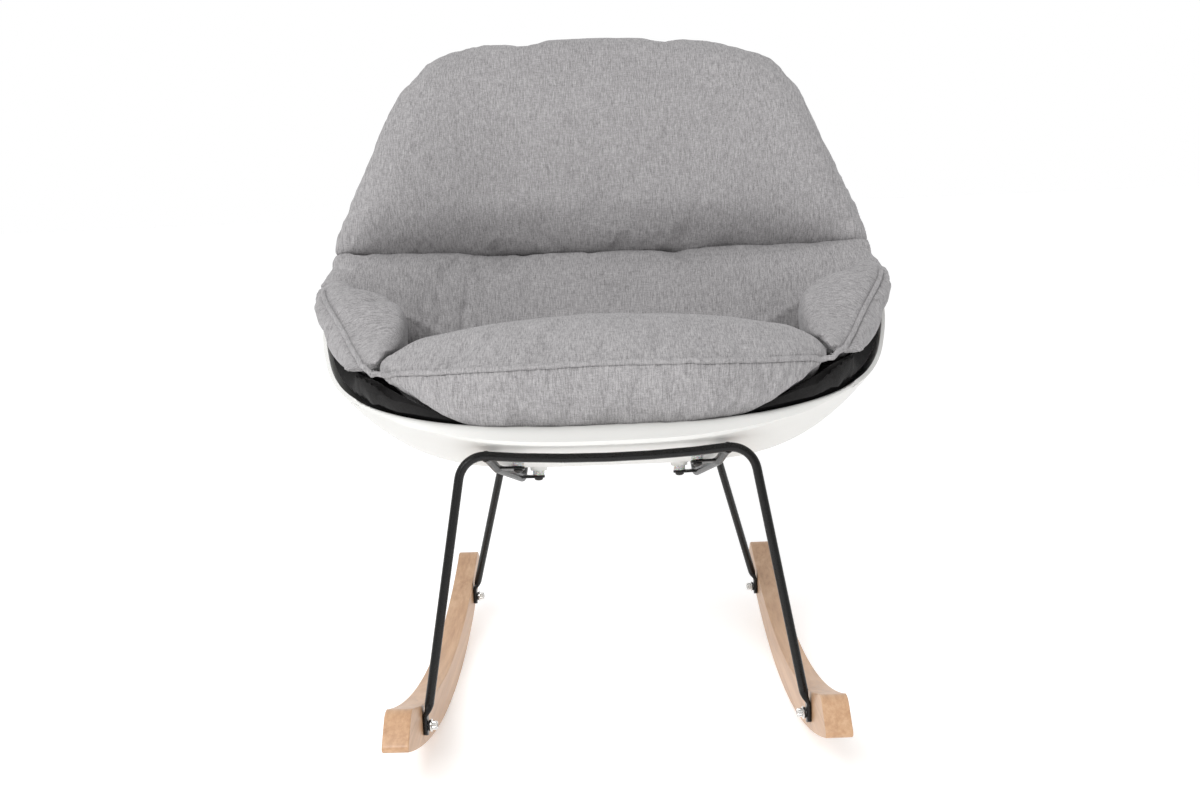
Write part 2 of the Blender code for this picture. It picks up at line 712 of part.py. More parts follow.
def build_rails():
    front = mount_frame(FRONT_MOUNT) @ Vector((TAB_REACH, 0.0, TAB_MIDDLE))
    rear = mount_frame(REAR_MOUNT) @ Vector((TAB_REACH, 0.0, TAB_MIDDLE))
    front_x = front.x + (front.x - rear.x) * (front.y - FRONT_BAR_Y) / (rear.y - front.y)
    front_bar = Vector((front_x, FRONT_BAR_Y, bar_height(front_x, FRONT_BAR_Z, FRONT_CORNER_X, FRONT_BAR_SAG)))
    rear_bar = Vector((rear.x - RAIL_REAR_INSET, REAR_BAR_Y, REAR_BAR_Z))
    turn = rear + (rear - front).normalized() * RAIL_TURN_PAST_TAB
    start = front_bar + (front - front_bar).normalized() * WELD_CLEARANCE
    end = rear_bar + (turn - rear_bar).normalized() * WELD_CLEARANCE
    path = rounded_path([start, front, turn, end], RAIL_BEND_RADIUS)
    return add_pair("side_rail", tube_mesh(path, ROD_RADIUS), "frame_black")


def build_seat_mounts():
    for end, mount in (("front", FRONT_MOUNT), ("rear", REAR_MOUNT)):
        frame = mount_frame(mount)
        half = 0.5 * TAB_WIDTH
        reach = TAB_REACH - ROD_RADIUS - WELD_GAP - TAB_SKEW
        plate = box_mesh((-half, -half, TAB_START), (reach, half, TAB_END), frame, 0.0)
        tabs = add_pair(f"seat_tab_{end}", plate, "frame_black")
        bore = cylinder_mesh(HOLE_RADIUS, TAB_START - CUT_PAST, TAB_END + CUT_PAST, frame)
        for side, item, shape in zip(("left", "right"), tabs, (bore, mirrored(bore))):
            boolean(item, add_cutter(f"seat_tab_bore_{end}_{side}", shape), "DIFFERENCE")
        spacer = ring_mesh(SPACER_RADIUS, HOLE_RADIUS, SPACER_START, SPACER_START + SPACER_HEIGHT, frame)
        add_pair(f"seat_spacer_{end}", spacer, "spacer_plastic")
        insert_start = BOSS_FACE - SHELL_INSERT_LENGTH
        insert = ring_mesh(INSERT_RADIUS, HOLE_RADIUS, insert_start, BOSS_FACE, frame)
        add_pair(f"shell_insert_{end}", insert, "brass")
        build_screw(f"seat_screw_{end}", frame, insert_start, TAB_END + FIT_GAP)


def build_screw(name, frame, tip, head_face):
    """A pan-head screw along the frame's Z, with a hexagon socket."""
    head_end = head_face + PAN_HEAD_HEIGHT
    screws = add_pair(name, cylinder_mesh(THREAD_RADIUS, tip, head_face + HEAD_LAP, frame), "dark_steel")
    head = cylinder_mesh(PAN_HEAD_RADIUS, head_face, head_end, frame)
    socket = cylinder_mesh(SOCKET_RADIUS, head_end - PAN_SOCKET_DEPTH, head_end + CUT_PAST, frame, 6)
    both = ((head, socket), (mirrored(head), mirrored(socket)))
    for side, item, shapes in zip(("left", "right"), screws, both):
        boolean(item, add_cutter(f"{name}_head_{side}", shapes[0]), "UNION")
        boolean(item, add_cutter(f"{name}_socket_{side}", shapes[1]), "DIFFERENCE")


def rocker_outline():
    """Side outline of a rocker: a faceted arc below, a parallel arc above, sloped ends."""
    front = -ROCKER_FRONT_REACH / ROCKER_RADIUS
    rear = ROCKER_REAR_REACH / ROCKER_RADIUS
    step = ROCKER_FACET / ROCKER_RADIUS
    first = math.ceil(front / step - 0.5)
    last = math.floor(rear / step - 0.5)
    angles = [front] + [(i + 0.5) * step for i in range(first, last + 1)] + [rear]
    inner = [angle for angle in angles[1:-1] if front + FACET_LEAST * step < angle < rear - FACET_LEAST * step]
    angles = [front] + inner + [rear]
    facet_radius = ROCKER_RADIUS / math.cos(0.5 * step)
    slope = ROCKER_NOSE_SLOPE / ROCKER_RADIUS
    squeeze = (rear - front - 2.0 * slope) / (rear - front)

    def on_arc(angle, radius):
        return ROCKER_CENTRE_Y + radius * math.sin(angle), ROCKER_RADIUS - radius * math.cos(angle)

    below = [on_arc(angle, facet_radius) for angle in angles]
    top_radius = ROCKER_RADIUS - ROCKER_HEIGHT
    above = [on_arc(front + slope + (angle - front) * squeeze, top_radius) for angle in reversed(angles)]
    return below + above


def build_rockers():
    builder = bmesh.new()
    frame = side_frame(0.0, 0.0)
    verts = [builder.verts.new((0.0, y, z)) for y, z in rocker_outline()]
    face = builder.faces.new(verts)
    grown = bmesh.ops.extrude_face_region(builder, geom=[face], use_keep_orig=True)
    for item in grown["geom"]:
        if isinstance(item, bmesh.types.BMVert):
            item.co.x += ROCKER_THICKNESS
    bmesh.ops.recalc_face_normals(builder, faces=builder.faces[:])
    rims = [edge for edge in builder.edges if abs(edge.verts[0].co.x - edge.verts[1].co.x) < 1e-6]
    bmesh.ops.bevel(builder, geom=rims, offset=ROCKER_EDGE, segments=2, profile=0.5, affect="EDGES")
    bmesh.ops.transform(builder, matrix=frame, verts=builder.verts[:])
    rockers = add_pair("rocker", mesh_from(builder), "beech")
    for end, foot_y in (("front", FRONT_FOOT_Y), ("rear", REAR_FOOT_Y)):
        depth = ROCKER_INSERT_LENGTH + INSERT_HOLE_PAST
        bore = cylinder_mesh(INSERT_RADIUS + FIT_GAP, -depth, CUT_PAST, bolt_frame(foot_y))
        for side, item, shape in zip(("left", "right"), rockers, (bore, mirrored(bore))):
            boolean(item, add_cutter(f"rocker_bore_{end}_{side}", shape), "DIFFERENCE")
    return rockers


def build_foot_hardware():
    """Bolt, washer, spring washer and threaded insert at each leg end, on an axis square to the rocker."""
    for end, foot_y in (("front", FRONT_FOOT_Y), ("rear", REAR_FOOT_Y)):
        frame = bolt_frame(foot_y)
        insert = ring_mesh(INSERT_RADIUS, HOLE_RADIUS, -ROCKER_INSERT_LENGTH, -FIT_GAP, frame)
        add_pair(f"rocker_insert_{end}", insert, "brass")
        at = 2.0 * FIT_GAP + FOOT_TAB_THICKNESS
        spring = ring_mesh(SPRING_WASHER_RADIUS, HOLE_RADIUS, at, at + SPRING_WASHER_THICKNESS, frame)
        add_pair(f"spring_washer_{end}", spring, "dark_steel")
        at += SPRING_WASHER_THICKNESS + FIT_GAP
        washer = ring_mesh(WASHER_RADIUS, HOLE_RADIUS, at, at + WASHER_THICKNESS, frame)
        add_pair(f"flat_washer_{end}", washer, "bright_steel")
        at += WASHER_THICKNESS + FIT_GAP
        build_bolt(f"leg_bolt_{end}", frame, at)


def build_bolt(name, frame, head_face):
    head_end = head_face + HEAD_HEIGHT
    shank = cylinder_mesh(THREAD_RADIUS, -ROCKER_INSERT_LENGTH + SHANK_SHORT, head_face + HEAD_LAP, frame)
    bolts = add_pair(name, shank, "bright_steel")
    head = cylinder_mesh(HEAD_RADIUS, head_face, head_end, frame)
    socket = cylinder_mesh(SOCKET_RADIUS, head_end - SOCKET_DEPTH, head_end + CUT_PAST, frame, 6)
    both = ((head, socket), (mirrored(head), mirrored(socket)))
    for side, item, shapes in zip(("left", "right"), bolts, both):
        boolean(item, add_cutter(f"{name}_head_{side}", shapes[0]), "UNION")
        boolean(item, add_cutter(f"{name}_socket_{side}", shapes[1]), "DIFFERENCE")


def build_chair():
    build_shell()
    build_base()
    build_seat_cushion()
    build_back_pad("lumbar_cushion", LUMBAR_SPAN, LUMBAR_HEIGHTS, LUMBAR_EDGE_SHARE)
    build_back_pad("back_cushion", BACK_SPAN, BACK_HEIGHTS, BACK_EDGE_SHARE)
    build_arm_cushions()
    build_piping()
    build_hoop("front_leg_hoop", FRONT_FOOT_Y, FRONT_BAR_Y, FRONT_BAR_Z, FRONT_CORNER_X, FRONT_BAR_SAG)
    build_hoop("rear_leg_hoop", REAR_FOOT_Y, REAR_BAR_Y, REAR_BAR_Z, REAR_CORNER_X, 0.0)
    build_rails()
    build_seat_mounts()
    build_rockers()
    build_foot_hardware()


clear_scene()
PARTS = new_collection(PARTS_NAME)
CUTTERS = new_collection(CUTTERS_NAME)
build_chair()
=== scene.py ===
"""Looks of the rocking lounge chair, around the CAD frame: padded insert, shell, rod frame and beech rockers.

Metres, +Z up, the sitter faces -Y. The first part repeats the sizes and surface formulas of the CAD model.
"""

import math

import bmesh
import bpy
import numpy as np
from mathutils import Matrix, Vector, kdtree, noise
from mathutils.bvhtree import BVHTree


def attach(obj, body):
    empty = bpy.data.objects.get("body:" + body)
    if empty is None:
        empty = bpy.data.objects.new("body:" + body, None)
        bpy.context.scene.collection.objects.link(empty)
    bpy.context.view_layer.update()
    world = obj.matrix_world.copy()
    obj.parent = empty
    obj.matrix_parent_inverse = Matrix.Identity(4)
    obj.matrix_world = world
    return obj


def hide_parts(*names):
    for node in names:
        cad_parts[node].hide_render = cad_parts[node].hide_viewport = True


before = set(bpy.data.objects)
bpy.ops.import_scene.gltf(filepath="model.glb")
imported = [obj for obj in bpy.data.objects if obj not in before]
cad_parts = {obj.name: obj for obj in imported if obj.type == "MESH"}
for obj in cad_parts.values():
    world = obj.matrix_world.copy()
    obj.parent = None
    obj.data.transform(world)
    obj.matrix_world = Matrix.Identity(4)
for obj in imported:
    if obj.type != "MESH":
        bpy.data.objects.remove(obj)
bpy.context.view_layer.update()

# ---------------------------------------------------------------- sizes shared with the CAD model

SHELL_FRONT_Y = -0.318
SHELL_DEPTH = 0.597
SHELL_LOW_Z = 0.306
SHELL_HEIGHT = 0.532
SHELL_HALF_WIDTH = 0.356
SHELL_WALL = 0.005
SHELL_EDGE = 0.97
SHELL_TOP = 0.985
RIB_SWEEP = math.radians(62.0)
RIBS = (
    ((0.000, 0.165), (0.699, 0.204, 0.192), 2.7),
    ((0.049, 0.186), (0.773, 0.242, 0.205), 3.0),
    ((0.123, 0.159), (0.836, 0.281, 0.222), 3.6),
    ((0.237, 0.101), (0.893, 0.322, 0.245), 4.2),
    ((0.351, 0.051), (0.937, 0.363, 0.277), 4.5),
    ((0.466, 0.009), (0.967, 0.405, 0.316), 4.5),
    ((0.572, 0.000), (0.989, 0.449, 0.360), 4.3),
    ((0.678, 0.031), (0.998, 0.493, 0.399), 4.0),
    ((0.768, 0.118), (0.986, 0.534, 0.437), 3.6),
    ((0.825, 0.254), (0.967, 0.570, 0.466), 3.2),
    ((0.866, 0.410), (0.958, 0.605, 0.492), 3.0),
    ((0.907, 0.591), (0.932, 0.670, 0.601), 3.0),
    ((0.944, 0.764), (0.858, 0.755, 0.759), 3.2),
    ((0.977, 0.912), (0.784, 0.833, 0.885), 3.8),
    ((1.000, 1.000), (0.690, 0.898, 0.972), 5.0),
)
BASE_SPAN = (0.050, 0.556)
SEAT_SPAN = (0.085, 0.553)
LUMBAR_SPAN = (0.560, 0.728)
BACK_SPAN = (0.735, 1.000)
ARM_SPAN = (0.105, 0.553)
ARM_SEAM_FRONT = 0.82
ARM_SEAM_REAR = 0.66
ARM_SEAM_GAP = 0.016
ARM_SEAM_STRAIGHT_FROM = 0.50
ARM_SEAM_REACH = 0.40
FRONT_LEAN = 0.80
FRONT_LEAN_REACH = 0.45
STEEPEST_SLOPE = 2.0
PAD_GAP = 0.0040
BASE_GAP = 0.0045
CORNER_GAP = 0.0100
CORNER_SHELL_GAP = 0.0040
BASE_THICKNESS = 0.007
BASE_CORNER_THICKNESS = 0.024
CORNER_CENTRE = (0.20, 0.84)
CORNER_REACH = (0.30, 0.34)
PAN_SEARCH = (0.05, 0.60)
SEAT_HEIGHTS = ((0.085, 0.082), (0.214, 0.142), (0.360, 0.162), (0.430, 0.146), (0.556, 0.115))
LUMBAR_HEIGHTS = ((0.556, 0.115), (0.643, 0.090), (0.700, 0.082), (0.728, 0.058))
BACK_HEIGHTS = ((0.735, 0.058), (0.780, 0.082), (0.850, 0.082), (0.930, 0.072), (1.000, 0.041))
BACK_SIDE_OVERHANG = 0.012
BACK_TOP_OVERHANG = 0.016
BACK_TOP_FROM = 0.80
BACK_TOP_LENGTH = 0.20
LUMBAR_EDGE_SHARE = 0.36
BACK_EDGE_SHARE = 0.60
SEAT_CROWN_DROP = 0.33
ARM_PIPING_FRONT = (-0.042, -0.086, 0.040)
ARM_PIPING_MIDDLE = (-0.042, -0.060, 0.031)
ARM_PIPING_REAR = (-0.006, -0.030, 0.012)
ARM_CROWN_FRONT = (-0.034, -0.034, 0.054)
ARM_CROWN_MIDDLE = (-0.078, 0.014, 0.053)
ARM_CROWN_REAR = (-0.030, -0.022, 0.014)
ARM_SWELL = 0.014
ARM_SWELL_DIRECTION = (-0.30, -0.45, 0.84)
ARM_OVERHANG = 0.018

ROD_RADIUS = 0.0053
ROD_BEND_RADIUS = 0.030
FRONT_BAR_Y = -0.205
FRONT_BAR_Z = 0.363
FRONT_BAR_SAG = 0.009
FRONT_CORNER_X = 0.1640
REAR_BAR_Y = 0.120
REAR_BAR_Z = 0.3235
REAR_CORNER_X = 0.1385
FRONT_FOOT_Y = -0.258
REAR_FOOT_Y = 0.244
FRONT_MOUNT = (0.105, -0.143)
REAR_MOUNT = (0.090, -0.016)
TAB_REACH = 0.025
TAB_WIDTH = 0.016
TAB_THICKNESS = 0.003
BOSS_RADIUS = 0.0105
BOSS_HEIGHT = 0.005
SPACER_RADIUS = 0.0075
SPACER_HEIGHT = 0.006
FOOT_TAB_WIDTH = 0.016
FOOT_TAB_THICKNESS = 0.005
FOOT_TAB_BELOW = 0.011
FOOT_TAB_ABOVE = 0.020
FOOT_SET_IN = 0.0012
ROCKER_RADIUS = 0.960
ROCKER_HEIGHT = 0.045
ROCKER_THICKNESS = 0.029
ROCKER_INNER_X = 0.2165
ROCKER_SPLAY = math.radians(0.4)
ROCKER_CENTRE_Y = 0.020
ROCKER_FRONT_REACH = 0.392
ROCKER_REAR_REACH = 0.3485
ROCKER_NOSE_SLOPE = 0.020
HEAD_RADIUS = 0.005
HEAD_HEIGHT = 0.006
SOCKET_RADIUS = 0.0027
SOCKET_DEPTH = 0.003
WASHER_RADIUS = 0.0072
WASHER_THICKNESS = 0.0016
SPRING_WASHER_RADIUS = 0.0060
SPRING_WASHER_THICKNESS = 0.0020
HOLE_RADIUS = 0.0034
PAN_HEAD_RADIUS = 0.0055
PAN_HEAD_HEIGHT = 0.0036
FIT_GAP = 0.0003
THREAD_RADIUS = 0.003
RAIL_BEND_RADIUS = 0.020
RAIL_TURN_PAST_TAB = 0.022
RAIL_REAR_INSET = 0.006
ROCKER_EDGE = 0.004
PIPING_RADIUS = 0.003

# ---------------------------------------------------------------- sizes of the looks

CAMERA_PLACE = (0.0139, -1.6213, 0.6605)
CAMERA_DOWN = math.radians(9.64)
CAMERA_YAW = math.radians(-0.78)
CAMERA_ROLL = math.radians(-2.30)
CAMERA_LENS = 38.4
SENSOR_WIDTH = 36.0

FLATTEN_REACH = 0.007
TONGUE_LENGTH = 0.005
ROD_STEP = 0.0016
WELD_LENGTH = 0.0035
WELD_FLARE = 0.22
ROCKER_STEPS = 60
NOSE_LOW = 0.009
NOSE_HIGH = 0.0115

VOXEL = 0.0055
SIM_FRAMES = 20
PRESSURE = 4.0
CLOTH_QUALITY = 4
CLOTH_MASS = 0.3
CLOTH_STIFFNESS = 12.0
CLOTH_SHEAR = 4.0
CLOTH_BENDING = 0.4
CLOTH_SHRINK = -0.03
PIN_REACH = 0.006
MOST_SWELL = 0.014
WELT_START = 0.03
CREASE = 0.7335
SKIRT = (0.0, -0.014, -0.004)
TILT = math.radians(1.1)
TILT_CENTRE = (0.0, 0.0, 0.62)
SKIRT_REACH = 0.25
BASE_TUCK = 0.040
ARM_LEAN_IN = 0.026
ARM_REAR_REACH = 0.018
FRONT_GLOW = 0.50
CREASE_LAP = 0.0045
WELT_STEP = 0.003
WELT_SOFTENING = 14



# ---------------------------------------------------------------- materials


class Graph:
    """A material's node tree, with short calls to add and link nodes."""

    def __init__(self, name):
        self.material = bpy.data.materials.new(name)
        self.material.use_nodes = True
        self.tree = self.material.node_tree
        self.shader = self.tree.nodes["Principled BSDF"]

    def node(self, kind, inputs=None, **settings):
        made = self.tree.nodes.new(kind)
        for key, value in settings.items():
            setattr(made, key, value)
        for key, value in (inputs or {}).items():
            self.feed(made.inputs[key], value)
        return made

    def feed(self, socket, value):
        if isinstance(value, bpy.types.NodeSocket):
            self.tree.links.new(value, socket)
        elif isinstance(value, bpy.types.Node):
            self.tree.links.new(value.outputs[0], socket)
        else:
            socket.default_value = value

    def set(self, **values):
        """Sets the shader's own sockets; an underscore in a name stands for a space."""
        for key, value in values.items():
            self.feed(self.shader.inputs[key.replace("_", " ")], value)

    def place(self, scale, rotation=(0.0, 0.0, 0.0)):
        """Object coordinates, stretched by a scale along each axis."""
        coordinates = self.node("ShaderNodeTexCoord")
        values = {"Vector": coordinates.outputs["Object"], "Scale": scale, "Rotation": rotation}
        return self.node("ShaderNodeMapping", values)

    def noise(self, vector, scale=1.0, detail=2.0, roughness=0.5, distortion=0.0):
        values = {"Vector": vector, "Scale": scale, "Detail": detail, "Roughness": roughness}
        values["Distortion"] = distortion
        return self.node("ShaderNodeTexNoise", values).outputs["Fac"]

    def ramp(self, value, *stops):
        """Colour ramp with (place, colour) stops, a colour being a grey level or red, green, blue."""
        made = self.node("ShaderNodeValToRGB", {"Fac": value})
        elements = made.color_ramp.elements
        while len(elements) < len(stops):
            elements.new(0.5)
        for element, (place, colour) in zip(elements, stops):
            element.position = place
            element.color = (*(colour if isinstance(colour, tuple) else (colour,) * 3), 1.0)
        return made.outputs["Color"]

    def math(self, operation, a, b):
        return self.node("ShaderNodeMath", {0: a, 1: b}, operation=operation).outputs[0]

    def span(self, value, low, high, to_low, to_high):
        """The value's range from low..high moved to to_low..to_high."""
        inputs = {"Value": value, "From Min": low, "From Max": high, "To Min": to_low, "To Max": to_high}
        return self.node("ShaderNodeMapRange", inputs).outputs["Result"]

    def mix(self, factor, a, b, blend="MIX"):
        made = self.node("ShaderNodeMix", data_type="RGBA", blend_type=blend)
        for socket, value in ((0, factor), (6, a), (7, b)):
            if isinstance(value, tuple):
                value = (*value, 1.0)
            self.feed(made.inputs[socket], value)
        return made.outputs[2]

    def bump(self, height, distance, strength=1.0, under=None):
        values = {"Height": height, "Distance": distance, "Strength": strength}
        if under is not None:
            values["Normal"] = under
        return self.node("ShaderNodeBump", values).outputs["Normal"]


def melange_fabric(name, light, dark, streak, cross, bump=0.00045):
    """Chenille weave: slubs that run along one direction, fine crossing threads and a soft nap.

    streak and cross are scales per metre along X, Y and Z: high across the thread, low along it.
    """
    g = Graph(name)
    slubs = g.noise(g.place(streak), 1.0, 3.0, 0.62)
    threads = g.noise(g.place(cross), 1.0, 2.0, 0.55)
    fleck = g.noise(g.place((1500.0, 1500.0, 1500.0)), 1.0, 1.0, 0.5)
    cloud = g.noise(g.place((9.0, 9.0, 7.0)), 1.0, 3.0, 0.55)
    tone = g.math("ADD", g.span(slubs, 0.30, 0.70, 0.0, 0.50), g.span(threads, 0.30, 0.70, 0.0, 0.22))
    tone = g.math("ADD", tone, g.span(fleck, 0.32, 0.68, 0.0, 0.28))
    colour = g.mix(tone, dark, light)
    shade = g.span(cloud, 0.30, 0.70, 0.955, 1.03)
    cloud_colour = g.node("ShaderNodeCombineColor", {0: shade, 1: shade, 2: shade})
    g.set(Base_Color=g.mix(1.0, colour, cloud_colour, "MULTIPLY"))
    g.set(Roughness=g.span(tone, 0.0, 1.0, 0.98, 0.84), Sheen_Weight=0.18, Sheen_Roughness=0.45)
    g.set(Specular_IOR_Level=0.18)
    g.shader.inputs["Sheen Tint"].default_value = (0.92, 0.92, 0.94, 1.0)
    relief = g.math("ADD", g.math("MULTIPLY", slubs, 0.8), g.math("MULTIPLY", threads, 0.7))
    relief = g.math("ADD", relief, g.math("MULTIPLY", fleck, 0.5))
    wrinkles = g.bump(g.noise(g.place((26.0, 26.0, 20.0)), 1.0, 3.0, 0.5, 0.6), 0.0022, 0.30)
    g.set(Normal=g.bump(relief, bump, 0.9, wrinkles))
    return g.material


def lining_fabric():
    """Black non-woven cloth under the pads."""
    g = Graph("black_lining")
    fibres = g.noise(g.place((900.0, 900.0, 900.0)), 1.0, 4.0, 0.65)
    clumps = g.noise(g.place((120.0, 120.0, 120.0)), 1.0, 2.0)
    g.set(Base_Color=g.ramp(fibres, (0.3, (0.0035, 0.0033, 0.0033)), (0.75, (0.014, 0.013, 0.013))))
    g.set(Roughness=g.span(clumps, 0.3, 0.7, 0.85, 1.0), Sheen_Weight=0.05, Specular_IOR_Level=0.15)
    g.set(Normal=g.bump(g.math("ADD", fibres, clumps), 0.0004, 0.8))
    return g.material


def moulded_plastic():
    """White polypropylene with a fine moulded grain and faint flow marks."""
    g = Graph("shell_plastic")
    grain = g.noise(g.place((1400.0, 1400.0, 1400.0)), 1.0, 2.0)
    flow = g.noise(g.place((7.0, 7.0, 7.0)), 1.0, 3.0, 0.5)
    g.set(Base_Color=g.ramp(flow, (0.25, (0.665, 0.663, 0.642)), (0.75, (0.695, 0.693, 0.674))))
    g.set(Roughness=g.span(grain, 0.3, 0.7, 0.34, 0.44), Specular_IOR_Level=0.45, Coat_Weight=0.05)
    g.set(Coat_Roughness=0.35, Subsurface_Weight=0.06, Subsurface_Scale=0.004)
    g.shader.inputs["Subsurface Radius"].default_value = (1.0, 0.9, 0.8)
    g.set(Normal=g.bump(grain, 0.00006, 0.5, g.bump(flow, 0.0006, 0.25)))
    return g.material


def powder_coat(name, colour, wear, roughness):
    """Satin powder coating: orange peel, and a little paler where edges are rubbed."""
    g = Graph(name)
    peel = g.noise(g.place((620.0, 620.0, 620.0)), 1.0, 2.0, 0.45)
    speck = g.noise(g.place((2200.0, 2200.0, 2200.0)), 1.0, 1.0)
    rub = g.noise(g.place((60.0, 60.0, 60.0)), 1.0, 4.0, 0.6)
    edge = g.node("ShaderNodeNewGeometry").outputs["Pointiness"]
    worn = g.math("MULTIPLY", g.span(edge, 0.52, 0.60, 0.0, 0.6), g.span(rub, 0.45, 0.7, 0.0, 1.0))
    g.set(Base_Color=g.mix(worn, g.ramp(speck, (0.35, colour), (0.75, tuple(1.5 * c for c in colour))), wear))
    g.set(Roughness=g.span(peel, 0.3, 0.7, roughness - 0.05, roughness + 0.07), Specular_IOR_Level=0.32)
    g.set(Normal=g.bump(peel, 0.00012, 0.6))
    return g.material


BEECH_TONES = (
    (0.10, (0.385, 0.212, 0.112)),
    (0.50, (0.505, 0.305, 0.175)),
    (0.90, (0.600, 0.392, 0.245)),
)


def beech_wood():
    """Lacquered beech: long straight grain, short dark flecks, pores and a warm tone."""
    g = Graph("beech")
    bands = g.noise(g.place((34.0, 3.2, 60.0)), 1.0, 5.0, 0.62, 1.4)
    lines = g.noise(g.place((260.0, 9.0, 330.0)), 1.0, 3.0, 0.6, 0.25)
    flecks = g.noise(g.place((900.0, 110.0, 1100.0)), 1.0, 2.0, 0.5)
    tone = g.math("ADD", g.span(bands, 0.30, 0.72, 0.0, 0.62), g.span(lines, 0.30, 0.72, 0.0, 0.38))
    base = g.ramp(tone, *BEECH_TONES)
    marks = g.span(flecks, 0.58, 0.70, 0.0, 0.62)
    g.set(Base_Color=g.mix(marks, base, (0.47, 0.28, 0.15)))
    g.set(Roughness=g.span(lines, 0.3, 0.7, 0.36, 0.50), Coat_Weight=0.18, Coat_Roughness=0.30)
    g.set(Specular_IOR_Level=0.42, Normal=g.bump(g.math("ADD", lines, flecks), 0.00012, 0.5))
    return g.material


def bare_metal(name, colour, roughness, scratch=0.00004):
    """Plated or bare metal with fine machining lines and small changes of gloss."""
    g = Graph(name)
    lines = g.noise(g.place((5200.0, 700.0, 700.0)), 1.0, 2.0)
    smudge = g.noise(g.place((240.0, 240.0, 240.0)), 1.0, 3.0, 0.6)
    g.set(Base_Color=g.ramp(smudge, (0.3, tuple(0.82 * c for c in colour)), (0.7, colour)), Metallic=1.0)
    g.set(Roughness=g.span(smudge, 0.3, 0.7, roughness * 0.75, roughness * 1.35))
    g.set(Normal=g.bump(lines, scratch, 0.5))
    return g.material


def clear_plastic():
    """Milky nylon of the spacers."""
    g = Graph("spacer_nylon")
    haze = g.noise(g.place((350.0, 350.0, 350.0)), 1.0, 3.0)
    g.set(Base_Color=g.ramp(haze, (0.3, (0.80, 0.80, 0.78)), (0.7, (0.90, 0.90, 0.88))))
    g.set(Roughness=g.span(haze, 0.3, 0.7, 0.22, 0.34), Subsurface_Weight=0.4, Subsurface_Scale=0.003)
    g.set(Transmission_Weight=0.25, IOR=1.5, Normal=g.bump(haze, 0.00005, 0.4))
    return g.material


def stage_material():
    g = Graph("pale_floor")
    mottle = g.noise(g.place((3.0, 3.0, 3.0)), 1.0, 2.0)
    g.set(Base_Color=g.ramp(mottle, (0.3, (0.90, 0.90, 0.90)), (0.7, (0.92, 0.92, 0.92))), Roughness=0.9)
    g.set(Specular_IOR_Level=0.1, Emission_Color=(1.0, 1.0, 1.0, 1.0), Emission_Strength=0.30)
    return g.material


ALONG_BODY = (900.0, 105.0, 105.0)
ACROSS_BODY = (120.0, 760.0, 760.0)
ALONG_ARM = (130.0, 820.0, 130.0)
ACROSS_ARM = (620.0, 110.0, 620.0)
FABRIC_LIGHT = (0.475, 0.462, 0.467)
FABRIC_DARK = (0.108, 0.104, 0.106)

COAT_BLACK = (0.0034, 0.0033, 0.0032)
COAT_RUBBED = (0.022, 0.021, 0.020)

FINISH = {
    "body_fabric": melange_fabric("grey_chenille_body", FABRIC_LIGHT, FABRIC_DARK, ALONG_BODY, ACROSS_BODY),
    "arm_fabric": melange_fabric("grey_chenille_arm", FABRIC_LIGHT, FABRIC_DARK, ALONG_ARM, ACROSS_ARM),
    "lining": lining_fabric(),
    "shell": moulded_plastic(),
    "frame": powder_coat("black_powder_coat", COAT_BLACK, COAT_RUBBED, 0.30),
    "beech": beech_wood(),
    "bright": bare_metal("bright_zinc", (0.78, 0.77, 0.75), 0.20),
    "dark": bare_metal("black_oxide_steel", (0.055, 0.053, 0.052), 0.38),
    "brass": bare_metal("brass", (0.72, 0.55, 0.26), 0.28),
    "spacer": clear_plastic(),
    "stage": stage_material(),
}


# ---------------------------------------------------------------- mesh helpers


def add_object(name, mesh, finish, smooth_angle=None):
    item = bpy.data.objects.new(name, mesh)
    bpy.context.scene.collection.objects.link(item)
    mesh.materials.clear()
    mesh.materials.append(FINISH[finish])
    mesh.shade_smooth()
    if smooth_angle is not None:
        mesh.set_sharp_from_angle(angle=math.radians(smooth_angle))
    return item


def declare(item, slot, *nodes):
    """Lets a piece ride on the chair and stand for CAD nodes."""
    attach(item, "root")
    if nodes:
        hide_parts(*nodes)
    return item


def mesh_from(builder, name):
    bmesh.ops.recalc_face_normals(builder, faces=builder.faces[:])
    mesh = bpy.data.meshes.new(name)
    builder.to_mesh(mesh)
    builder.free()
    return mesh


def bake(item):
    """Applies every modifier of an object."""
    bpy.context.view_layer.update()
    evaluated = item.evaluated_get(bpy.context.evaluated_depsgraph_get())
    mesh = bpy.data.meshes.new_from_object(evaluated)
    item.modifiers.clear()
    old = item.data
    item.data = mesh
    bpy.data.meshes.remove(old)
    return item


def coordinates(mesh):
    values = np.empty(len(mesh.vertices) * 3, np.float32)
    mesh.vertices.foreach_get("co", values)
    return values.reshape(-1, 3).astype(float)


def normals(mesh):
    values = np.empty(len(mesh.vertices) * 3, np.float32)
    mesh.vertices.foreach_get("normal", values)
    return values.reshape(-1, 3).astype(float)


def set_coordinates(mesh, values):
    mesh.vertices.foreach_set("co", values.astype(np.float32).ravel())
    mesh.update()


def mirrored(mesh, name):
    builder = bmesh.new()
    builder.from_mesh(mesh)
    bmesh.ops.scale(builder, vec=(-1.0, 1.0, 1.0), verts=builder.verts[:])
    bmesh.ops.reverse_faces(builder, faces=builder.faces[:])
    return mesh_from(builder, name)


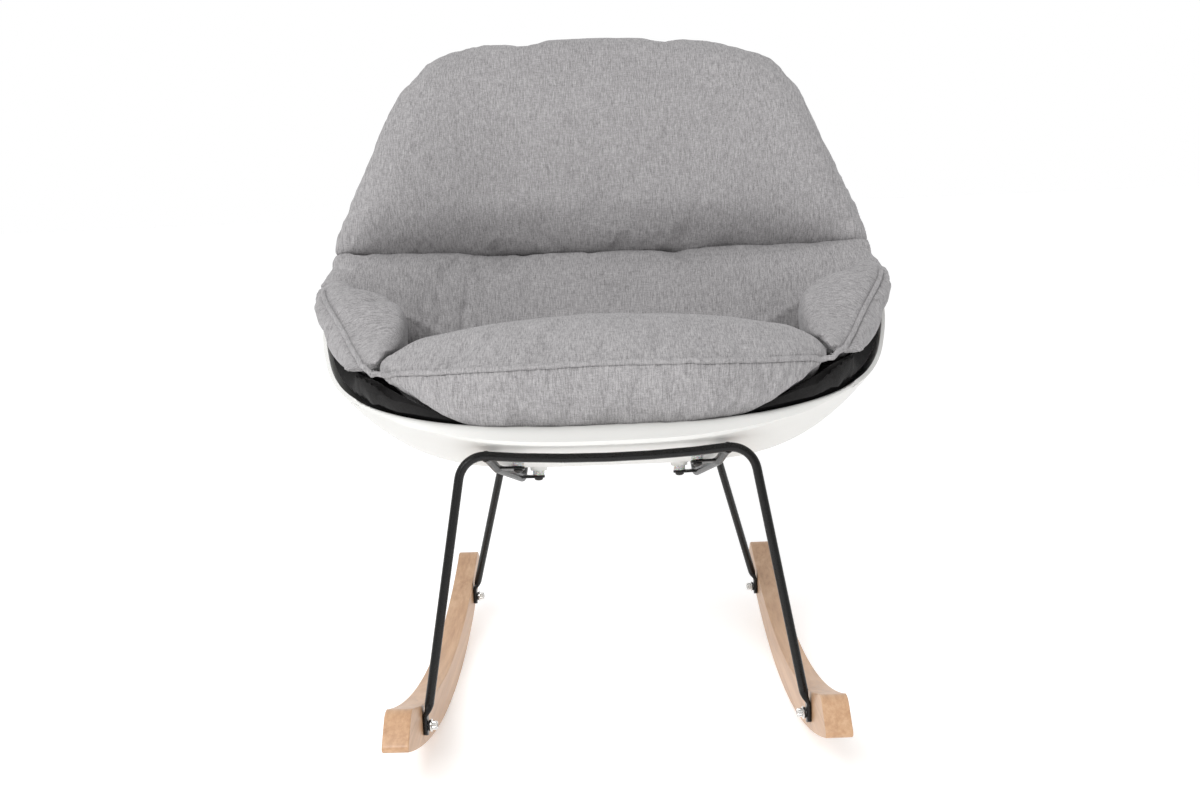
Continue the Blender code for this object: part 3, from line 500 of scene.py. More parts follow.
def sweep(points, section, reference, sides=24):
    """Closed tube along points. section(i) gives the width, depth and squareness of the ring at point i.

    The ring's width lies along the reference direction.
    """
    builder = bmesh.new()
    rings = []
    last = len(points) - 1
    for i, point in enumerate(points):
        tangent = (points[min(i + 1, last)] - points[max(i - 1, 0)]).normalized()
        side = (reference - tangent * reference.dot(tangent)).normalized()
        depth_axis = tangent.cross(side)
        width, depth, power = section(i)
        ring = []
        for k in range(sides):
            angle = 2.0 * math.pi * k / sides
            c, s = math.cos(angle), math.sin(angle)
            across = math.copysign(abs(c) ** (2.0 / power), c) * 0.5 * width
            up = math.copysign(abs(s) ** (2.0 / power), s) * 0.5 * depth
            ring.append(builder.verts.new(point + side * across + depth_axis * up))
        rings.append(ring)
    for ring, following in zip(rings, rings[1:]):
        for k in range(sides):
            builder.faces.new((ring[k], ring[(k + 1) % sides], following[(k + 1) % sides], following[k]))
    builder.faces.new(rings[0])
    builder.faces.new(rings[-1])
    return mesh_from(builder, "sweep")


def turned(profile, place, name, sides=48, knurl=0.0):
    """A closed turned shape on the place's Z axis. profile lists (radius, height) pairs round its section."""
    builder = bmesh.new()
    rings = []
    for radius, height in profile:
        ring = []
        for k in range(sides):
            angle = 2.0 * math.pi * k / sides
            r = radius - (knurl if k % 2 and radius > 0.9 * max(p[0] for p in profile) else 0.0)
            ring.append(builder.verts.new((r * math.cos(angle), r * math.sin(angle), height)))
        rings.append(ring)
    for i, ring in enumerate(rings):
        following = rings[(i + 1) % len(rings)]
        for k in range(sides):
            builder.faces.new((ring[k], ring[(k + 1) % sides], following[(k + 1) % sides], following[k]))
    bmesh.ops.remove_doubles(builder, verts=builder.verts[:], dist=1e-7)
    bmesh.ops.transform(builder, matrix=place, verts=builder.verts[:])
    return mesh_from(builder, name)


def rounded_path(corners, radius, steps=14):
    """Points along straight runs whose inner corners are arcs of the bend radius."""
    points = [Vector(corners[0])]
    for before, corner, after in zip(corners, corners[1:], corners[2:]):
        corner = Vector(corner)
        to_start = (Vector(before) - corner).normalized()
        to_end = (Vector(after) - corner).normalized()
        opening = to_start.angle(to_end)
        if math.pi - opening < math.radians(4.0):
            points.append(corner)
            continue
        setback = radius / math.tan(0.5 * opening)
        centre = corner + (to_start + to_end).normalized() * (radius / math.sin(0.5 * opening))
        spoke = corner + to_start * setback - centre
        turn = math.pi - opening
        axis = spoke.cross(corner + to_end * setback - centre)
        count = max(3, round(steps * turn / (0.5 * math.pi)) + 1)
        points.extend(centre + Matrix.Rotation(turn * i / count, 3, axis) @ spoke for i in range(count + 1))
    points.append(Vector(corners[-1]))
    return points


# ---------------------------------------------------------------- shell surface, as in the CAD model


def blend_points(values, t):
    """Catmull-Rom value at t in 0..1 through evenly spaced tuples, with straight ends."""
    last = len(values) - 1
    place = min(max(t, 0.0), 1.0) * last
    index = min(int(place), last - 1)
    f = place - index
    p1 = values[index]
    p2 = values[index + 1]
    p0 = values[index - 1] if index > 0 else [2.0 * a - b for a, b in zip(p1, p2)]
    p3 = values[index + 2] if index + 2 <= last else [2.0 * b - a for a, b in zip(p1, p2)]
    return [
        0.5
        * (
            2.0 * b
            + (c - a) * f
            + (2.0 * a - 5.0 * b + 4.0 * c - d) * f**2
            + (3.0 * b - a - 3.0 * c + d) * f**3
        )
        for a, b, c, d in zip(p0, p1, p2, p3)
    ]


def rib_row(rib):
    centre, rim, flatness = rib
    return (
        SHELL_FRONT_Y + SHELL_DEPTH * centre[0],
        SHELL_LOW_Z + SHELL_HEIGHT * centre[1],
        SHELL_HALF_WIDTH * rim[0],
        SHELL_FRONT_Y + SHELL_DEPTH * rim[1],
        SHELL_LOW_Z + SHELL_HEIGHT * rim[2],
        flatness,
    )


RIB_ROWS = [rib_row(rib) for rib in RIBS]


def surface(s, u):
    """Point of the shell's mid-surface: s from the lip (0) to the top (1), u across from -1 to 1."""
    centre_y, centre_z, rim_x, rim_y, rim_z, flatness = blend_points(RIB_ROWS, s)
    share = math.sin(u * RIB_SWEEP) / math.sin(RIB_SWEEP)
    rise = abs(share) ** flatness
    return Vector((rim_x * share, centre_y + (rim_y - centre_y) * rise, centre_z + (rim_z - centre_z) * rise))


def normal(s, u):
    """Unit normal of the mid-surface on the sitter's side."""
    step = 0.004
    s0, s1 = max(s - step, 0.0), min(s + step, 1.0)
    along = surface(s1, u) - surface(s0, u)
    across = surface(s, u + step) - surface(s, u - step)
    return across.cross(along).normalized()


def pad_direction(s, u):
    """Which way the pads stand off the shell: with the rib's slope, leaning forward near the front edge."""
    centre_y, centre_z, rim_x, rim_y, rim_z, flatness = blend_points(RIB_ROWS, s)
    lean = FRONT_LEAN * max(0.0, 1.0 - s / FRONT_LEAN_REACH)
    upright = (normal(s, 0.0) + Vector((0.0, -lean, 0.0))).normalized()
    rise = Vector((0.0, rim_y - centre_y, rim_z - centre_z)).dot(upright)
    share = math.sin(u * RIB_SWEEP) / math.sin(RIB_SWEEP)
    slope = min(max(flatness * rise / rim_x, 0.0), STEEPEST_SLOPE) * abs(share) ** (flatness - 1.0)
    return (upright - Vector((math.copysign(slope, u), 0.0, 0.0))).normalized()


def piecewise(table, s):
    """Smooth value between the table's (place, value) pairs."""
    if s <= table[0][0]:
        return table[0][1]
    for (s0, v0), (s1, v1) in zip(table, table[1:]):
        if s <= s1:
            f = (s - s0) / (s1 - s0)
            return v0 + (v1 - v0) * f * f * (3.0 - 2.0 * f)
    return table[-1][1]


def surface_below(x, y):
    """(s, u) of the pan point at plan position x, y."""
    low, high = PAN_SEARCH
    for _ in range(50):
        s = 0.5 * (low + high)
        row = blend_points(RIB_ROWS, s)
        share = x / row[2]
        at_y = row[0] + (row[3] - row[0]) * abs(share) ** row[5]
        low, high = (s, high) if at_y < y else (low, s)
    return s, math.asin(share * math.sin(RIB_SWEEP)) / RIB_SWEEP


def mount_frame(mount):
    """Frame of a seat mounting on the +X side: Z down from the shell, X outward, at the mid-surface."""
    s, u = surface_below(*mount)
    down = -normal(s, u)
    along = down.cross(Vector((1.0, 0.0, 0.0))).normalized()
    outward = along.cross(down).normalized()
    place = Matrix.Identity(4)
    for column, axis in enumerate((outward, along, down)):
        for row in range(3):
            place[row][column] = axis[row]
    place.translation = surface(s, u)
    return place


BOSS_FACE = 0.5 * SHELL_WALL + BOSS_HEIGHT
SPACER_START = BOSS_FACE + FIT_GAP
TAB_START = SPACER_START + SPACER_HEIGHT + FIT_GAP
TAB_MIDDLE = TAB_START + 0.5 * TAB_THICKNESS
TAB_END = TAB_START + TAB_THICKNESS


def corner_share(s, u):
    """1 in the front corners of the pan, fading to 0 around them."""
    along = max(0.0, 1.0 - ((s - CORNER_CENTRE[0]) / CORNER_REACH[0]) ** 2) ** 2
    return along * max(0.0, 1.0 - ((abs(u) - CORNER_CENTRE[1]) / CORNER_REACH[1]) ** 2) ** 2


def shell_offset(s, u):
    """Distance along the pad direction that clears the shell's inner face."""
    gap = PAD_GAP + CORNER_SHELL_GAP * corner_share(s, u)
    return (0.5 * SHELL_WALL + gap) / max(pad_direction(s, u).dot(normal(s, u)), 0.5)


def base_height(s, u):
    """Top of the black base: thin over the pan, fuller in the front corners under the pads."""
    swell = (BASE_CORNER_THICKNESS - BASE_THICKNESS) * corner_share(s, u)
    return shell_offset(s, u) + BASE_THICKNESS + swell


def pad_floor(s, u):
    """Bottom of a pad: on the base where there is one, else on the shell."""
    if s <= BASE_SPAN[1]:
        return base_height(s, u) + BASE_GAP + CORNER_GAP * corner_share(s, u)
    return shell_offset(s, u)


def pad_point(s, u, height):
    return surface(s, u) + pad_direction(s, u) * height


def arm_seam(s):
    """Where the seat pad meets the arm pads, across the shell."""
    share = min(max((ARM_SEAM_STRAIGHT_FROM - s) / ARM_SEAM_REACH, 0.0), 1.0)
    return ARM_SEAM_REAR + (ARM_SEAM_FRONT - ARM_SEAM_REAR) * share**2


def crown(share, drop, power=4.0):
    return 1.0 - drop * abs(share) ** power


def span_place(span, share):
    return span[0] + (span[1] - span[0]) * share


def seat_height(s, across):
    return piecewise(SEAT_HEIGHTS, s) * crown(across, SEAT_CROWN_DROP, 2.0)


def arm_u(s, share):
    inner = arm_seam(s) + ARM_SEAM_GAP
    return inner + (1.0 - inner) * share


def arm_top(s, along, share):
    """Point of an arm pad's top on the +X side: inner crown at share 0, outer seam at share 1."""
    rim = surface(s, 1.0)
    seam = rim + Vector(blend_points((ARM_PIPING_FRONT, ARM_PIPING_MIDDLE, ARM_PIPING_REAR), along))
    inner = rim + Vector(blend_points((ARM_CROWN_FRONT, ARM_CROWN_MIDDLE, ARM_CROWN_REAR), along))
    swell = Vector(ARM_SWELL_DIRECTION) * (ARM_SWELL * 4.0 * share * (1.0 - share))
    return inner.lerp(seam, share) + swell


def arm_point(along, across, level):
    """Point of the arm pad on the +X side: its outer wall stands proud of the shell's edge."""
    s = span_place(ARM_SPAN, along)
    share = 0.5 * (across + 1.0)
    u = arm_u(s, share)
    floor = pad_point(s, u, pad_floor(s, u))
    overhang = ARM_OVERHANG * share**2 * 4.0 * level * (1.0 - level)
    return floor.lerp(arm_top(s, along, share), level) + Vector((overhang, 0.0, 0.0))


# ---------------------------------------------------------------- shell and base


def shell_grid(steps_along, steps_across):
    builder = bmesh.new()
    bmesh.ops.create_grid(builder, x_segments=steps_across, y_segments=steps_along, size=1.0)
    for vert in builder.verts:
        vert.co = surface(0.5 * (vert.co.y + 1.0) * SHELL_TOP, vert.co.x * SHELL_EDGE)
    return mesh_from(builder, "shell")


BOSS_FLARE = 0.0035
BOSS_RIM = 0.0004


def boss_profile():
    """Round boss under the shell with a flared foot."""
    start = -0.25 * SHELL_WALL
    arc = [math.radians(90.0 * i / 6) for i in range(7)]
    foot = [
        (BOSS_RADIUS + BOSS_FLARE * (1.0 - math.sin(a)), 0.5 * SHELL_WALL + BOSS_FLARE * (1.0 - math.cos(a)))
        for a in arc
    ]
    rim = [(BOSS_RADIUS, BOSS_FACE - BOSS_RIM), (BOSS_RADIUS - BOSS_RIM, BOSS_FACE), (0.0, BOSS_FACE)]
    return [(0.0, start), (BOSS_RADIUS + BOSS_FLARE, start), *foot, *rim]


def join_shapes(item, meshes, operation="UNION"):
    """Boolean of an object with meshes, applied."""
    for mesh in meshes:
        other = bpy.data.objects.new("tool", mesh)
        bpy.context.scene.collection.objects.link(other)
        modifier = item.modifiers.new("join", "BOOLEAN")
        modifier.operation = operation
        modifier.solver = "EXACT"
        modifier.object = other
        bake(item)
        bpy.data.objects.remove(other, do_unlink=True)
    return item


def build_shell():
    shell = add_object("moulded_shell", shell_grid(110, 84), "shell")
    wall = shell.modifiers.new("wall", "SOLIDIFY")
    wall.thickness = SHELL_WALL
    wall.offset = 0.0
    rim = shell.modifiers.new("rim", "BEVEL")
    rim.width = 0.0022
    rim.segments = 4
    rim.limit_method = "ANGLE"
    rim.angle_limit = math.radians(50.0)
    bake(shell)
    bosses = [turned(boss_profile(), mount_frame(mount), "boss") for mount in (FRONT_MOUNT, REAR_MOUNT)]
    join_shapes(shell, bosses + [mirrored(boss, "boss") for boss in bosses])
    shell.data.shade_smooth()
    shell.data.set_sharp_from_angle(angle=math.radians(40.0))
    return declare(shell, "shell_plastic", "seat_shell")


def build_base():
    """Black lining of the pan: a thin pad with soft edges."""
    builder = bmesh.new()
    bmesh.ops.create_grid(builder, x_segments=76, y_segments=60, size=1.0)
    raised = bmesh.ops.extrude_face_region(builder, geom=builder.faces[:], use_keep_orig=True)
    top = {item for item in raised["geom"] if isinstance(item, bmesh.types.BMVert)}
    for vert in builder.verts:
        tuck = BASE_TUCK * (1.0 - abs(vert.co.x) ** 3) * 0.25 * (1.0 - vert.co.y) ** 2
        s = span_place(BASE_SPAN, 0.5 * (vert.co.y + 1.0)) + tuck
        u = vert.co.x * SHELL_EDGE
        height = base_height(s, u) if vert in top else shell_offset(s, u)
        ripple = 0.0006 * noise.noise(Vector((s * 40.0, u * 25.0, 3.0))) if vert in top else 0.0
        vert.co = pad_point(s, u, height + ripple)
    base = add_object("pan_lining", mesh_from(builder, "pan_lining"), "lining")
    edge = base.modifiers.new("edge", "BEVEL")
    edge.width = 0.0024
    edge.segments = 3
    edge.limit_method = "ANGLE"
    edge.angle_limit = math.radians(50.0)
    bake(base)
    return declare(base, "black_fabric", "cushion_base")


# ---------------------------------------------------------------- padded insert


def block_grid(steps):
    """Surface of a cube from -1 to 1, each face divided; steps are the divisions along each axis."""
    builder = bmesh.new()
    bmesh.ops.create_cube(builder, size=2.0)
    for axis in range(3):
        edges = [e for e in builder.edges if abs((e.verts[0].co - e.verts[1].co).normalized()[axis]) > 0.9]
        bmesh.ops.subdivide_edges(builder, edges=edges, cuts=steps[axis] - 1, use_grid_fill=True)
    return builder


def rounded_place(point, half, radius):
    """Moves a cube's surface point onto a box with rounded edges; half holds its half sizes."""
    place = [point[i] * half[i] for i in range(3)]
    inner = [min(max(place[i], radius - half[i]), half[i] - radius) for i in range(3)]
    away = Vector([place[i] - inner[i] for i in range(3)])
    if away.length > 1e-9:
        away = away.normalized() * radius
    return [(inner[i] + away[i]) / half[i] for i in range(3)]


def build_pad(name, finish, place, half, radius, steps):
    """A pad from a rounded block; place(along, across, level) takes 0 to 1, -1 to 1 and 0 to 1."""
    builder = block_grid(steps)
    for vert in builder.verts:
        a, b, c = rounded_place(vert.co, half, radius(vert.co))
        vert.co = place(0.5 * (a + 1.0), b, 0.5 * (c + 1.0))
    return add_object(name, mesh_from(builder, name), finish)


def voxel_remesh(item, size=VOXEL):
    modifier = item.modifiers.new("remesh", "REMESH")
    modifier.mode = "VOXEL"
    modifier.voxel_size = size
    bake(item)
    smooth = item.modifiers.new("smooth", "SMOOTH")
    smooth.factor = 0.5
    smooth.iterations = 3
    return bake(item)


def ease(value):
    value = np.clip(value, 0.0, 1.0)
    return value * value * (3.0 - 2.0 * value)


def path_distance(points, path):
    """For each point: distance to a densely sampled path, and the length along it of the nearest sample."""
    lengths = [0.0]
    for before, after in zip(path, path[1:]):
        lengths.append(lengths[-1] + (after - before).length)
    tree = kdtree.KDTree(len(path))
    for i, point in enumerate(path):
        tree.insert(point, i)
    tree.balance()
    found = [tree.find(point) for point in points]
    return np.array([f[2] for f in found]), np.array([lengths[f[1]] for f in found])


def start_cloth(item, seams, pin_reach):
    """Cloth with inner pressure, held along its seams."""
    points = coordinates(item.data)
    distance = np.full(len(points), 1.0)
    for seam in seams:
        distance = np.minimum(distance, path_distance(points, seam)[0])
    group = item.vertex_groups.new(name="seams")
    weights = 1.0 - ease((distance - 0.5 * pin_reach) / pin_reach)
    for index in np.nonzero(weights > 0.01)[0]:
        group.add([int(index)], float(weights[index]), "REPLACE")
    cloth = item.modifiers.new("cloth", "CLOTH")
    settings = cloth.settings
    settings.quality = CLOTH_QUALITY
    settings.mass = CLOTH_MASS
    settings.tension_stiffness = CLOTH_STIFFNESS
    settings.compression_stiffness = CLOTH_STIFFNESS
    settings.shear_stiffness = CLOTH_SHEAR
    settings.bending_stiffness = CLOTH_BENDING
    settings.use_pressure = True
    settings.uniform_pressure_force = PRESSURE
    settings.vertex_group_mass = "seams"
    settings.shrink_min = CLOTH_SHRINK
    settings.shrink_max = CLOTH_SHRINK
    settings.effector_weights.gravity = 0.0
    cloth.point_cache.frame_start = 1
    cloth.point_cache.frame_end = SIM_FRAMES
    return points


def end_cloth(item, before, cap):
    """Keeps the simulated shape, with each point moved no further than its cap."""
    evaluated = item.evaluated_get(bpy.context.evaluated_depsgraph_get())
    moved = coordinates(evaluated.data) - before
    length = np.maximum(np.linalg.norm(moved, axis=1), 1e-9)
    share = np.tanh(length / cap) * cap / length
    item.modifiers.clear()
    item.vertex_groups.clear()
    set_coordinates(item.data, before + moved * share[:, None])


def pucker(item, seam, depth, spacing, reach, seed, groove=0.0, groove_width=0.0025):
    """Small gathers square to a seam, and the groove that the stitches pull into the pad."""
    points = coordinates(item.data)
    facing = normals(item.data)
    distance, along = path_distance(points, seam)
    near = np.nonzero(distance < 2.2 * reach)[0]
    shift = np.zeros(len(points))
    for index in near:
        d = float(distance[index])
        place = float(along[index])
        swing = noise.noise(Vector((place / spacing, seed, d / (2.5 * reach))))
        swing += 0.5 * noise.noise(Vector((2.3 * place / spacing, seed + 7.0, d / (2.0 * reach))))
        strength = 0.55 + 0.9 * noise.noise(Vector((place / (6.0 * spacing), seed + 19.0, 0.0)))
        fade = math.exp(-((d / reach) ** 2)) * min(1.0, d / 0.004)
        shift[index] = depth * swing * max(strength, 0.0) * fade
        shift[index] -= groove * math.exp(-((d / groove_width) ** 2))
    set_coordinates(item.data, points + facing * shift[:, None])


def ripple(item, depth, size, seed):
    """Slow unevenness of the filling."""
    points = coordinates(item.data)
    facing = normals(item.data)
    shift = [depth * noise.noise(Vector(point) / size + Vector((seed, 0.0, 0.0))) for point in points]
    set_coordinates(item.data, points + facing * np.array(shift)[:, None])


def subdivide(item):
    modifier = item.modifiers.new("finer", "SUBSURF")
    modifier.levels = 1
    modifier.render_levels = 1
    return bake(item)


def seat_place(along, across, level):
    """Point of the seat pad; its front face hangs a little over the lip in the middle."""
    s = span_place(SEAT_SPAN, along)
    u = across * arm_seam(s)
    floor = pad_floor(s, u)
    point = pad_point(s, u, floor + (seat_height(s, across) - floor) * level)
    hang = (1.0 - level) * max(0.0, 1.0 - along / SKIRT_REACH) ** 2 * (1.0 - across**4)
    return point + Vector(SKIRT) * hang


def back_overhang(s, across):
    """How far the back pads stand out past the shell's edge, at the sides and along the top."""
    side = math.copysign(1.0, across)
    outward = (surface(s, side) - surface(s, 0.9 * side)).normalized()
    upward = (surface(1.0, across) - surface(0.95, across)).normalized()
    rise = BACK_TOP_OVERHANG * max(0.0, s - BACK_TOP_FROM) / BACK_TOP_LENGTH
    return outward * (BACK_SIDE_OVERHANG * across**6) + upward * rise


def turned_upright(point):
    """The back pads sit a little turned in the shell, more so towards the top."""
    centre = Vector(TILT_CENTRE)
    share = min(max((point.z - TILT_CENTRE[2]) / 0.10 + 1.0, 0.0), 1.0)
    return centre + Matrix.Rotation(TILT * share, 3, "Y") @ (point - centre)


def back_place(span, heights, edge_share):
    def place(along, across, level):
        s = span_place(span, along)
        height = piecewise(heights, s) * crown(across, 1.0 - edge_share)
        floor = pad_floor(s, across)
        point = pad_point(s, across, floor + (height - floor) * level) + back_overhang(s, across)
        return turned_upright(point)

    return place


def flipped(points):
    return [Vector((-p.x, p.y, p.z)) for p in points]


def seam_line(place, start, end, count=160):
    """Points along a straight seam in a pad's own shares."""
    return [place(*(a + (b - a) * i / count for a, b in zip(start, end))) for i in range(count + 1)]


SEAT_SEAM = seam_line(seat_place, (0.0, -1.0, 1.0), (0.0, 1.0, 1.0), 240)
ARM_SEAM = seam_line(arm_point, (0.0, 1.0, 1.0), (1.0, 1.0, 1.0))
LUMBAR_PLACE = back_place((LUMBAR_SPAN[0], CREASE + CREASE_LAP), LUMBAR_HEIGHTS, LUMBAR_EDGE_SHARE)
BACK_PLACE = back_place((CREASE - CREASE_LAP, BACK_SPAN[1]), BACK_HEIGHTS, BACK_EDGE_SHARE)


SEAT_HALF = (0.22, 0.25, 0.055)
LUMBAR_HALF = (0.09, 0.34, 0.035)
BACK_HALF = (0.16, 0.32, 0.033)
ARM_HALF = (0.13, 0.055, 0.035)
SEAM_RADIUS = 0.003
SEAT_RADIUS = 0.030
LUMBAR_RADIUS = 0.016
BACK_RADIUS = 0.026
ARM_RADIUS = 0.026
FLOOR_RADIUS = 0.006


def share_between(value, low, high):
    """Smooth share from 0 at low to 1 at high."""
    f = min(max((value - low) / (high - low), 0.0), 1.0)
    return f * f * (3.0 - 2.0 * f)


def seat_radius(p):
    """The seat's front edge is a sharp seam, its other upper edges are soft."""
    soft = SEAM_RADIUS + (SEAT_RADIUS - SEAM_RADIUS) * share_between(p.x, -1.0, -0.6)
    return FLOOR_RADIUS + (soft - FLOOR_RADIUS) * share_between(p.z, -0.6, 0.2)


def arm_radius(p):
    """The arm's outer upper edge is a sharp seam."""
    soft = ARM_RADIUS + (SEAM_RADIUS - ARM_RADIUS) * share_between(p.y, 0.2, 1.0)
    return FLOOR_RADIUS + (soft - FLOOR_RADIUS) * share_between(p.z, -0.6, 0.2)


def soft_radius(radius):
    def of(p):
        return FLOOR_RADIUS + (radius - FLOOR_RADIUS) * share_between(p.z, -0.6, 0.2)

    return of


def arm_place(along, across, level):
    """The arm pad leans over the seat's edge, as soft pads do; its seam and floor stay."""
    lean = ARM_LEAN_IN * level**2 * (0.5 - 0.5 * across) * math.sin(math.pi * min(along + 0.12, 1.0))
    rear = ARM_REAR_REACH * share_between(along, 0.80, 1.0) * (0.4 + 0.6 * level)
    return arm_point(along, across, level) + Vector((-lean, rear, 0.25 * rear))


def build_pads():
    """The pads, simulated together and then given their gathers; the right arm mirrors the left."""
    seat = build_pad("seat_pad", "body_fabric", seat_place, SEAT_HALF, seat_radius, (44, 50, 12))
    soft = soft_radius(LUMBAR_RADIUS)
    lumbar = build_pad("lumbar_pad", "body_fabric", LUMBAR_PLACE, LUMBAR_HALF, soft, (22, 70, 9))
    back = build_pad("back_pad", "body_fabric", BACK_PLACE, BACK_HALF, soft_radius(BACK_RADIUS), (40, 70, 9))
    arm = build_pad("arm_pad_left", "arm_fabric", arm_place, ARM_HALF, arm_radius, (34, 14, 10))
    pads = {
        "seat": (seat, [SEAT_SEAM]),
        "lumbar": (lumbar, []),
        "back": (back, []),
        "arm_left": (arm, [ARM_SEAM]),
    }
    for item, _ in pads.values():
        voxel_remesh(item)
    simulate(pads)
    for item, _ in pads.values():
        subdivide(item)
    shape_fabric(pads)
    right = add_object("arm_pad_right", mirrored(arm.data, "arm_pad_right"), "arm_fabric")
    nodes = ("seat_cushion", "lumbar_cushion", "back_cushion", "arm_cushion_left", "arm_cushion_right")
    finished = (seat, lumbar, back, arm, right)
    for item, node in zip(finished, nodes):
        declare(item, "grey_fabric", node)


BROAD_RIPPLE = (0.0016, 0.085)
FINE_RIPPLE = (0.0006, 0.026)
SEAT_GATHERS = {"depth": 0.0044, "spacing": 0.010, "reach": 0.024, "groove": 0.0026, "groove_width": 0.004}
ARM_GATHERS = {"depth": 0.0034, "spacing": 0.010, "reach": 0.020, "groove": 0.0024, "groove_width": 0.004}
LUMBAR_GATHERS = {"depth": 0.0005, "spacing": 0.016, "reach": 0.012}
CREASE_GATHERS = {"depth": 0.0006, "spacing": 0.018, "reach": 0.022}
TOP_GATHERS = {"depth": 0.0016, "spacing": 0.012, "reach": 0.016}
SIDE_GATHERS = {"depth": 0.0006, "spacing": 0.014, "reach": 0.014, "groove": 0.0022, "groove_width": 0.0035}


def shape_fabric(pads):
    """Slow unevenness, then gathers along the seams and creases."""
    crease = seam_line(LUMBAR_PLACE, (1.0, -1.0, 1.0), (1.0, 1.0, 1.0), 200)
    top = seam_line(BACK_PLACE, (1.0, -0.9, 1.0), (1.0, 0.9, 1.0), 200)
    for number, (item, _) in enumerate(pads.values()):
        ripple(item, *BROAD_RIPPLE, 3.0 * number + 1.0)
        ripple(item, *FINE_RIPPLE, 5.0 * number + 2.0)
    pucker(pads["seat"][0], SEAT_SEAM, seed=1.0, **SEAT_GATHERS)
    pucker(pads["arm_left"][0], ARM_SEAM, seed=2.0, **ARM_GATHERS)
    pucker(pads["lumbar"][0], crease, seed=3.0, **LUMBAR_GATHERS)
    pucker(pads["back"][0], crease, seed=4.0, **CREASE_GATHERS)
    pucker(pads["back"][0], top, seed=5.0, **TOP_GATHERS)
    for number, side in enumerate((-1.0, 1.0)):
        edge = seam_line(BACK_PLACE, (0.0, 0.985 * side, 0.55), (0.97, 0.985 * side, 0.55), 160)
        pucker(pads["back"][0], edge, seed=6.0 + number, **SIDE_GATHERS)


def simulate(pads):
    """Inflates all pads at once, then limits how far each point may move."""
    before = {name: start_cloth(item, seams, PIN_REACH) for name, (item, seams) in pads.items()}
    for step in range(1, SIM_FRAMES + 1):
        bpy.context.scene.frame_set(step)
    for name, (item, _) in pads.items():
        end_cloth(item, before[name], MOST_SWELL)
    bpy.context.scene.frame_set(1)


def welt_path():
    """One cord: down the left arm's seam, along the seat's front edge and up the right arm's seam."""
    arm = [arm_point(1.0 - WELT_START - (1.0 - WELT_START) * i / 60, 1.0, 1.0) for i in range(61)]
    seat = [seat_place(0.0, 1.0 - 2.0 * i / 120, 1.0) for i in range(2, 119)]
    path = resampled(arm + seat + flipped(reversed(arm)), WELT_STEP)
    return relaxed(path, WELT_SOFTENING)


def lay_on(points, trees, lift):
    """Moves each point to the nearest pad surface, then off it by the lift."""
    laid = []
    for point in points:
        found = [tree.find_nearest(point) for tree in trees]
        place, facing, _, _ = min(found, key=lambda hit: hit[3])
        laid.append(place + facing * lift)
    return laid


def build_welt():
    """Fabric cord that lies along the pads' seams, with small changes of its thickness."""
    pads = [bpy.data.objects[name] for name in ("seat_pad", "arm_pad_left", "arm_pad_right")]
    graph = bpy.context.evaluated_depsgraph_get()
    trees = [BVHTree.FromObject(item, graph) for item in pads]
    path = relaxed(lay_on(welt_path(), trees, 0.6 * PIPING_RADIUS), 4)

    def section(i):
        swell = 1.0 + 0.045 * noise.noise(Vector((i * 0.35, 4.0, 0.0)))
        return 2.0 * PIPING_RADIUS * swell, 2.0 * PIPING_RADIUS * swell, 2.0

    item = add_object("welt_cord", sweep(path, section, Vector((0.13, -0.4, 0.9)), 20), "body_fabric")
    return declare(item, "grey_fabric", "seat_piping", "arm_piping_left", "arm_piping_right")


# ---------------------------------------------------------------- rod frame, rockers and fasteners


def rocker_floor(y):
    """Height of the rocker's underside at a place along it."""
    return ROCKER_RADIUS - math.sqrt(ROCKER_RADIUS**2 - (y - ROCKER_CENTRE_Y) ** 2)


def side_frame(y, z):
    """Frame on the left rocker's inner face: X outward into the rocker, Y along it, Z up."""
    turn = Matrix.Rotation(ROCKER_SPLAY, 4, "Z")
    origin = Matrix.Translation((ROCKER_INNER_X, ROCKER_CENTRE_Y, 0.0))
    return origin @ turn @ Matrix.Translation((0.0, y - ROCKER_CENTRE_Y, z))


def foot_frame(y):
    return side_frame(y, rocker_floor(y) + 0.5 * ROCKER_HEIGHT)


def bolt_frame(y):
    """Foot frame turned so that Z points from the rocker towards the chair's middle."""
    return foot_frame(y) @ Matrix.Rotation(-0.5 * math.pi, 4, "Y")


def add_both(name, mesh, finish, slot_name, node, smooth_angle=35.0):
    """A piece on the sitter's left and its mirror image on the right, for the CAD nodes of that name."""
    other = mirrored(mesh, name + "_right")
    for side, shape in (("left", mesh), ("right", other)):
        item = add_object(f"{name}_{side}_piece", shape, finish, smooth_angle)
        declare(item, slot_name, f"{node}_{side}")


def path_lengths(points):
    lengths = [0.0]
    for before, after in zip(points, points[1:]):
        lengths.append(lengths[-1] + (after - before).length)
    return lengths


def resampled(points, spacing):
    """The same path with a point at each spacing."""
    lengths = path_lengths(points)
    count = max(2, round(lengths[-1] / spacing))
    xyz = np.array([tuple(p) for p in points])
    places = np.linspace(0.0, lengths[-1], count + 1)
    columns = [np.interp(places, lengths, xyz[:, i]) for i in range(3)]
    return [Vector(row) for row in np.stack(columns, axis=1)]


def relaxed(points, rounds):
    """The same path with its corners softened; its ends stay."""
    for _ in range(rounds):
        inner = [0.25 * a + 0.5 * b + 0.25 * c for a, b, c in zip(points, points[1:], points[2:])]
        points = [points[0]] + inner + [points[-1]]
    return points


